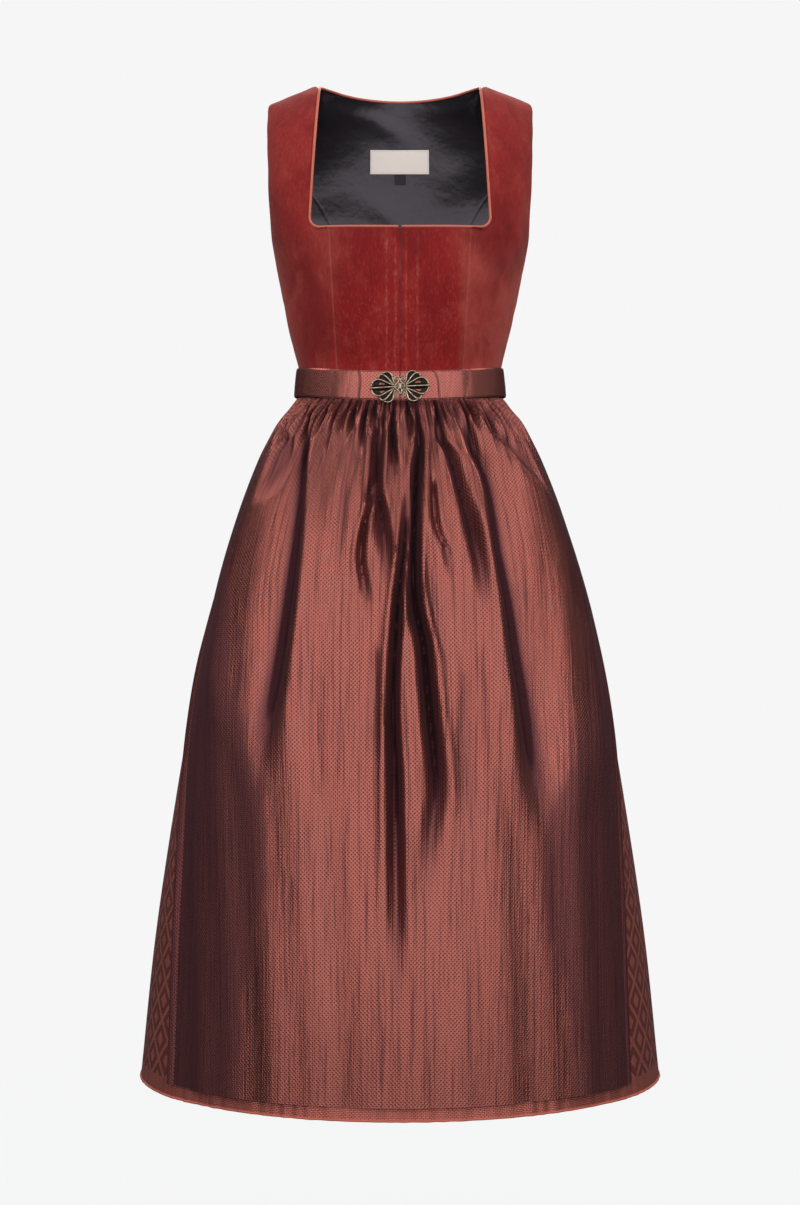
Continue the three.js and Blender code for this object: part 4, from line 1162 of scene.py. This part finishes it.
def scroll(x, up, turns, flip):  # a small spiral of wire
    turn = np.linspace(0, turns * 2 * math.pi, clasp["steps"])
    radius = np.linspace(0.5, 2.9, clasp["steps"])
    across, above = x + radius * np.cos(turn) * flip[0], up + radius * np.sin(turn) * flip[1]
    return bentTube("scroll", np.column_stack([across, above, np.full(clasp["steps"], 2.2)]), 0.5)


def claspBoss():
    parts = [scroll(4.0 * sx, 9.4 * sy, 1.4, (sx, sy)) for sx in (1, -1) for sy in (1, -1)]
    for sx in (1, -1):
        for sy in (1, -1):
            parts.append(wire([(0.2, 9.5), (1.8, 6.2), (3.6, 3.2), (6.5, 0.6)], 0.5, 2.4, (sx, sy)))
            parts.append(wire([(0.3, -8.6), (1.4, -5.0), (2.3, 0), (1.5, 4.2)], 0.42, 2.9, (sx, sy)))
    bpy.ops.object.select_all(action="DESELECT")
    bpy.ops.mesh.primitive_uv_sphere_add(segments=20, ring_count=12, radius=1)
    bead = bpy.context.object
    flat = np.empty(len(bead.data.vertices) * 3)
    bead.data.vertices.foreach_get("co", flat)
    flat = flat.reshape(-1, 3)
    pinch = 1 - 0.45 * np.abs(flat[:, 1]) ** 1.5
    places = np.column_stack([flat[:, 0] * 1.5 * pinch, flat[:, 1] * 4.3, 3.4 + flat[:, 2] * 1.2 * pinch])
    bead.data.vertices.foreach_set("co", (stoodUp(places) * millimetre).ravel())
    bead.data.update()
    bead.data.materials.append(finishes["clasp"])
    bpy.ops.object.mode_set(mode="EDIT")
    bpy.ops.mesh.select_all(action="SELECT")
    bpy.ops.mesh.normals_make_consistent(inside=False)
    bpy.ops.object.mode_set(mode="OBJECT")
    bpy.ops.object.shade_smooth()
    parts.append(bead)
    plate = []
    for up, wide in ((-8, 0.35), (-4, 0.75), (0, 1), (4, 0.75), (8, 0.35)):
        plate.append(np.column_stack([np.linspace(-5.5, 5.5, 12) * wide, np.full(12, up), np.full(12, 1.4)]))
    sheet = gridMesh("bossPlate", stoodUp(np.stack(plate)), np.zeros((5, 12, 2)), finishes["recess"])
    parts.append(thicken(sheet, 0.6))
    return join(parts, "antique_boss")


wear(claspWing(1, "antique_wing_right"), "clasp_right")
wear(claspWing(-1, "antique_wing_left"), "clasp_left")
wear(claspBoss(), "clasp_boss")
print("clasp made")

# Cloth sheets

sheets = [
    ("taffeta_apron", (0.80, 0.79), None, "gathered", ["taffeta_band", "jacquard_skirt_front"]),
    ("jacquard_skirt_front", (0.95, 0.83), None, "gathered", ["taffeta_band"]),
    ("jacquard_skirt_back", (0.95, 0.83), None, "gathered", ["taffeta_band"]),
    ("taffeta_band", (0.705, 0.034), None, "stretched", ["jacquard_skirt_front"]),
    ("velvet_back", (0.36, 0.37), 0.0765, "hung", ["velvet_front_side_right", "velvet_front_side_left"]),
    ("satin_back", (0.36, 0.37), 0.075, "hung", ["velvet_back"]),
    ("cream_label", (0.073, 0.029), None, "laid", ["satin_back"]),
    ("black_tab", (0.014, 0.0126), None, "laid", ["satin_back"]),
]
for hand in ("right", "left"):
    sheets += [
        ("velvet_front_centre_" + hand, (0.084, 0.178), 0.0139, "stretched", ["velvet_front_side_" + hand]),
        ("velvet_front_side_" + hand, (0.16, 0.42), 0.0352, "hung", ["velvet_back"]),
        ("velvet_side_back_" + hand, (0.15, 0.33), 0.0305, "stretched", ["velvet_back"]),
        ("satin_side_back_" + hand, (0.15, 0.33), 0.0295, "stretched", ["velvet_side_back_" + hand]),
    ]

# Floor, light and camera

studio = {
    "floor": -1.53, "floorHalf": 7.0, "pale": 0.9216, "camera": (0, -3.0, -0.620), "lens": 74.7,
    "world": 0.09, "tint": (0.88, 1.12, 1.22), "target": (0, 0, -0.6),
    "fade": (1.2, 3.2), "fadeShare": (0.8, 1.0), "matt": 0.9,
}
# Soft boxes: name, place, size and watts.
lights = [
    ("front_box", (0.25, -3.6, 0.53), (4.2, 3.6), 103),
    ("front_box_right", (2.65, -2.5, 0.53), (1.7, 3.6), 42),
    ("front_box_left", (-2.2, -2.75, 0.53), (1.7, 3.6), 42),
    ("high_box", (0.2, -2.4, 2.6), (3.4, 1.4), 22),
    ("side_box_right", (2.2, 0.3, 1.9), (1.4, 1.4), 34),
    ("side_box_left", (-2.2, 0.3, 1.9), (1.4, 1.4), 34),
    ("back_box", (0, 3.2, 1.9), (3.2, 2.0), 85),
]


def studioFloor():
    bpy.ops.object.select_all(action="DESELECT")
    bpy.ops.mesh.primitive_circle_add(
        vertices=96, radius=studio["floorHalf"], fill_type="NGON", location=(0, 0, studio["floor"]))
    floor = bpy.context.object
    floor.name = "pale_floor"
    bpy.ops.object.transform_apply(location=True, rotation=True, scale=True)
    material = bpy.data.materials.new("paleFloor")
    material.use_nodes = True
    tree = material.node_tree
    tree.nodes.clear()
    place = node(tree, "TexCoord").outputs["Object"]
    away = node(tree, "VectorMath", {0: place}, operation="LENGTH").outputs["Value"]
    share = between(tree, away, *studio["fade"], *studio["fadeShare"])
    glow = node(tree, "Emission", {"Color": (1, 1, 1, 1), "Strength": studio["pale"]}).outputs[0]
    matt = node(tree, "BsdfDiffuse", {"Color": (*[studio["matt"]] * 3, 1)}).outputs[0]
    blend = node(tree, "MixShader", {0: share, 1: matt, 2: glow}).outputs[0]
    node(tree, "OutputMaterial", {"Surface": blend})
    floor.data.materials.append(material)
    floor.visible_glossy = floor.visible_diffuse = False


def softBox(name, place, size, watts):
    bpy.ops.object.light_add(type="AREA", location=place)
    lamp = bpy.context.object
    lamp.name = name
    lamp.data.shape = "RECTANGLE"
    lamp.data.size, lamp.data.size_y = size
    lamp.data.energy = watts
    lamp.visible_camera = False
    way = np.array(studio["target"], float) - np.array(place, float)
    down = math.atan2(math.hypot(way[0], way[1]), -way[2])
    lamp.rotation_euler = (down, 0, math.atan2(way[0], -way[1]) + math.pi)


def studioWorld():
    world = bpy.data.worlds.new("studio")
    scene.world = world
    world.use_nodes = True
    tree = world.node_tree
    tree.nodes.clear()
    seen = node(tree, "LightPath").outputs["Is Camera Ray"]
    shade = node(tree, "Mix", {0: seen, 2: studio["world"], 3: studio["pale"]}, data_type="FLOAT").outputs[0]
    tint = blendColour(tree, seen, studio["tint"], (1, 1, 1))
    sky = node(tree, "Background", {"Color": tint, "Strength": shade}).outputs[0]
    node(tree, "OutputWorld", {"Surface": sky})


studioFloor()
studioWorld()
for name, place, size, watts in lights:
    softBox(name, place, size, watts)
bpy.ops.object.camera_add(location=studio["camera"], rotation=(math.pi / 2, 0, 0))
scene.camera = bpy.context.object
scene.camera.data.lens = studio["lens"]
scene.camera.data.sensor_width = 36
scene.view_settings.view_transform = "Standard"
print("studio ready")
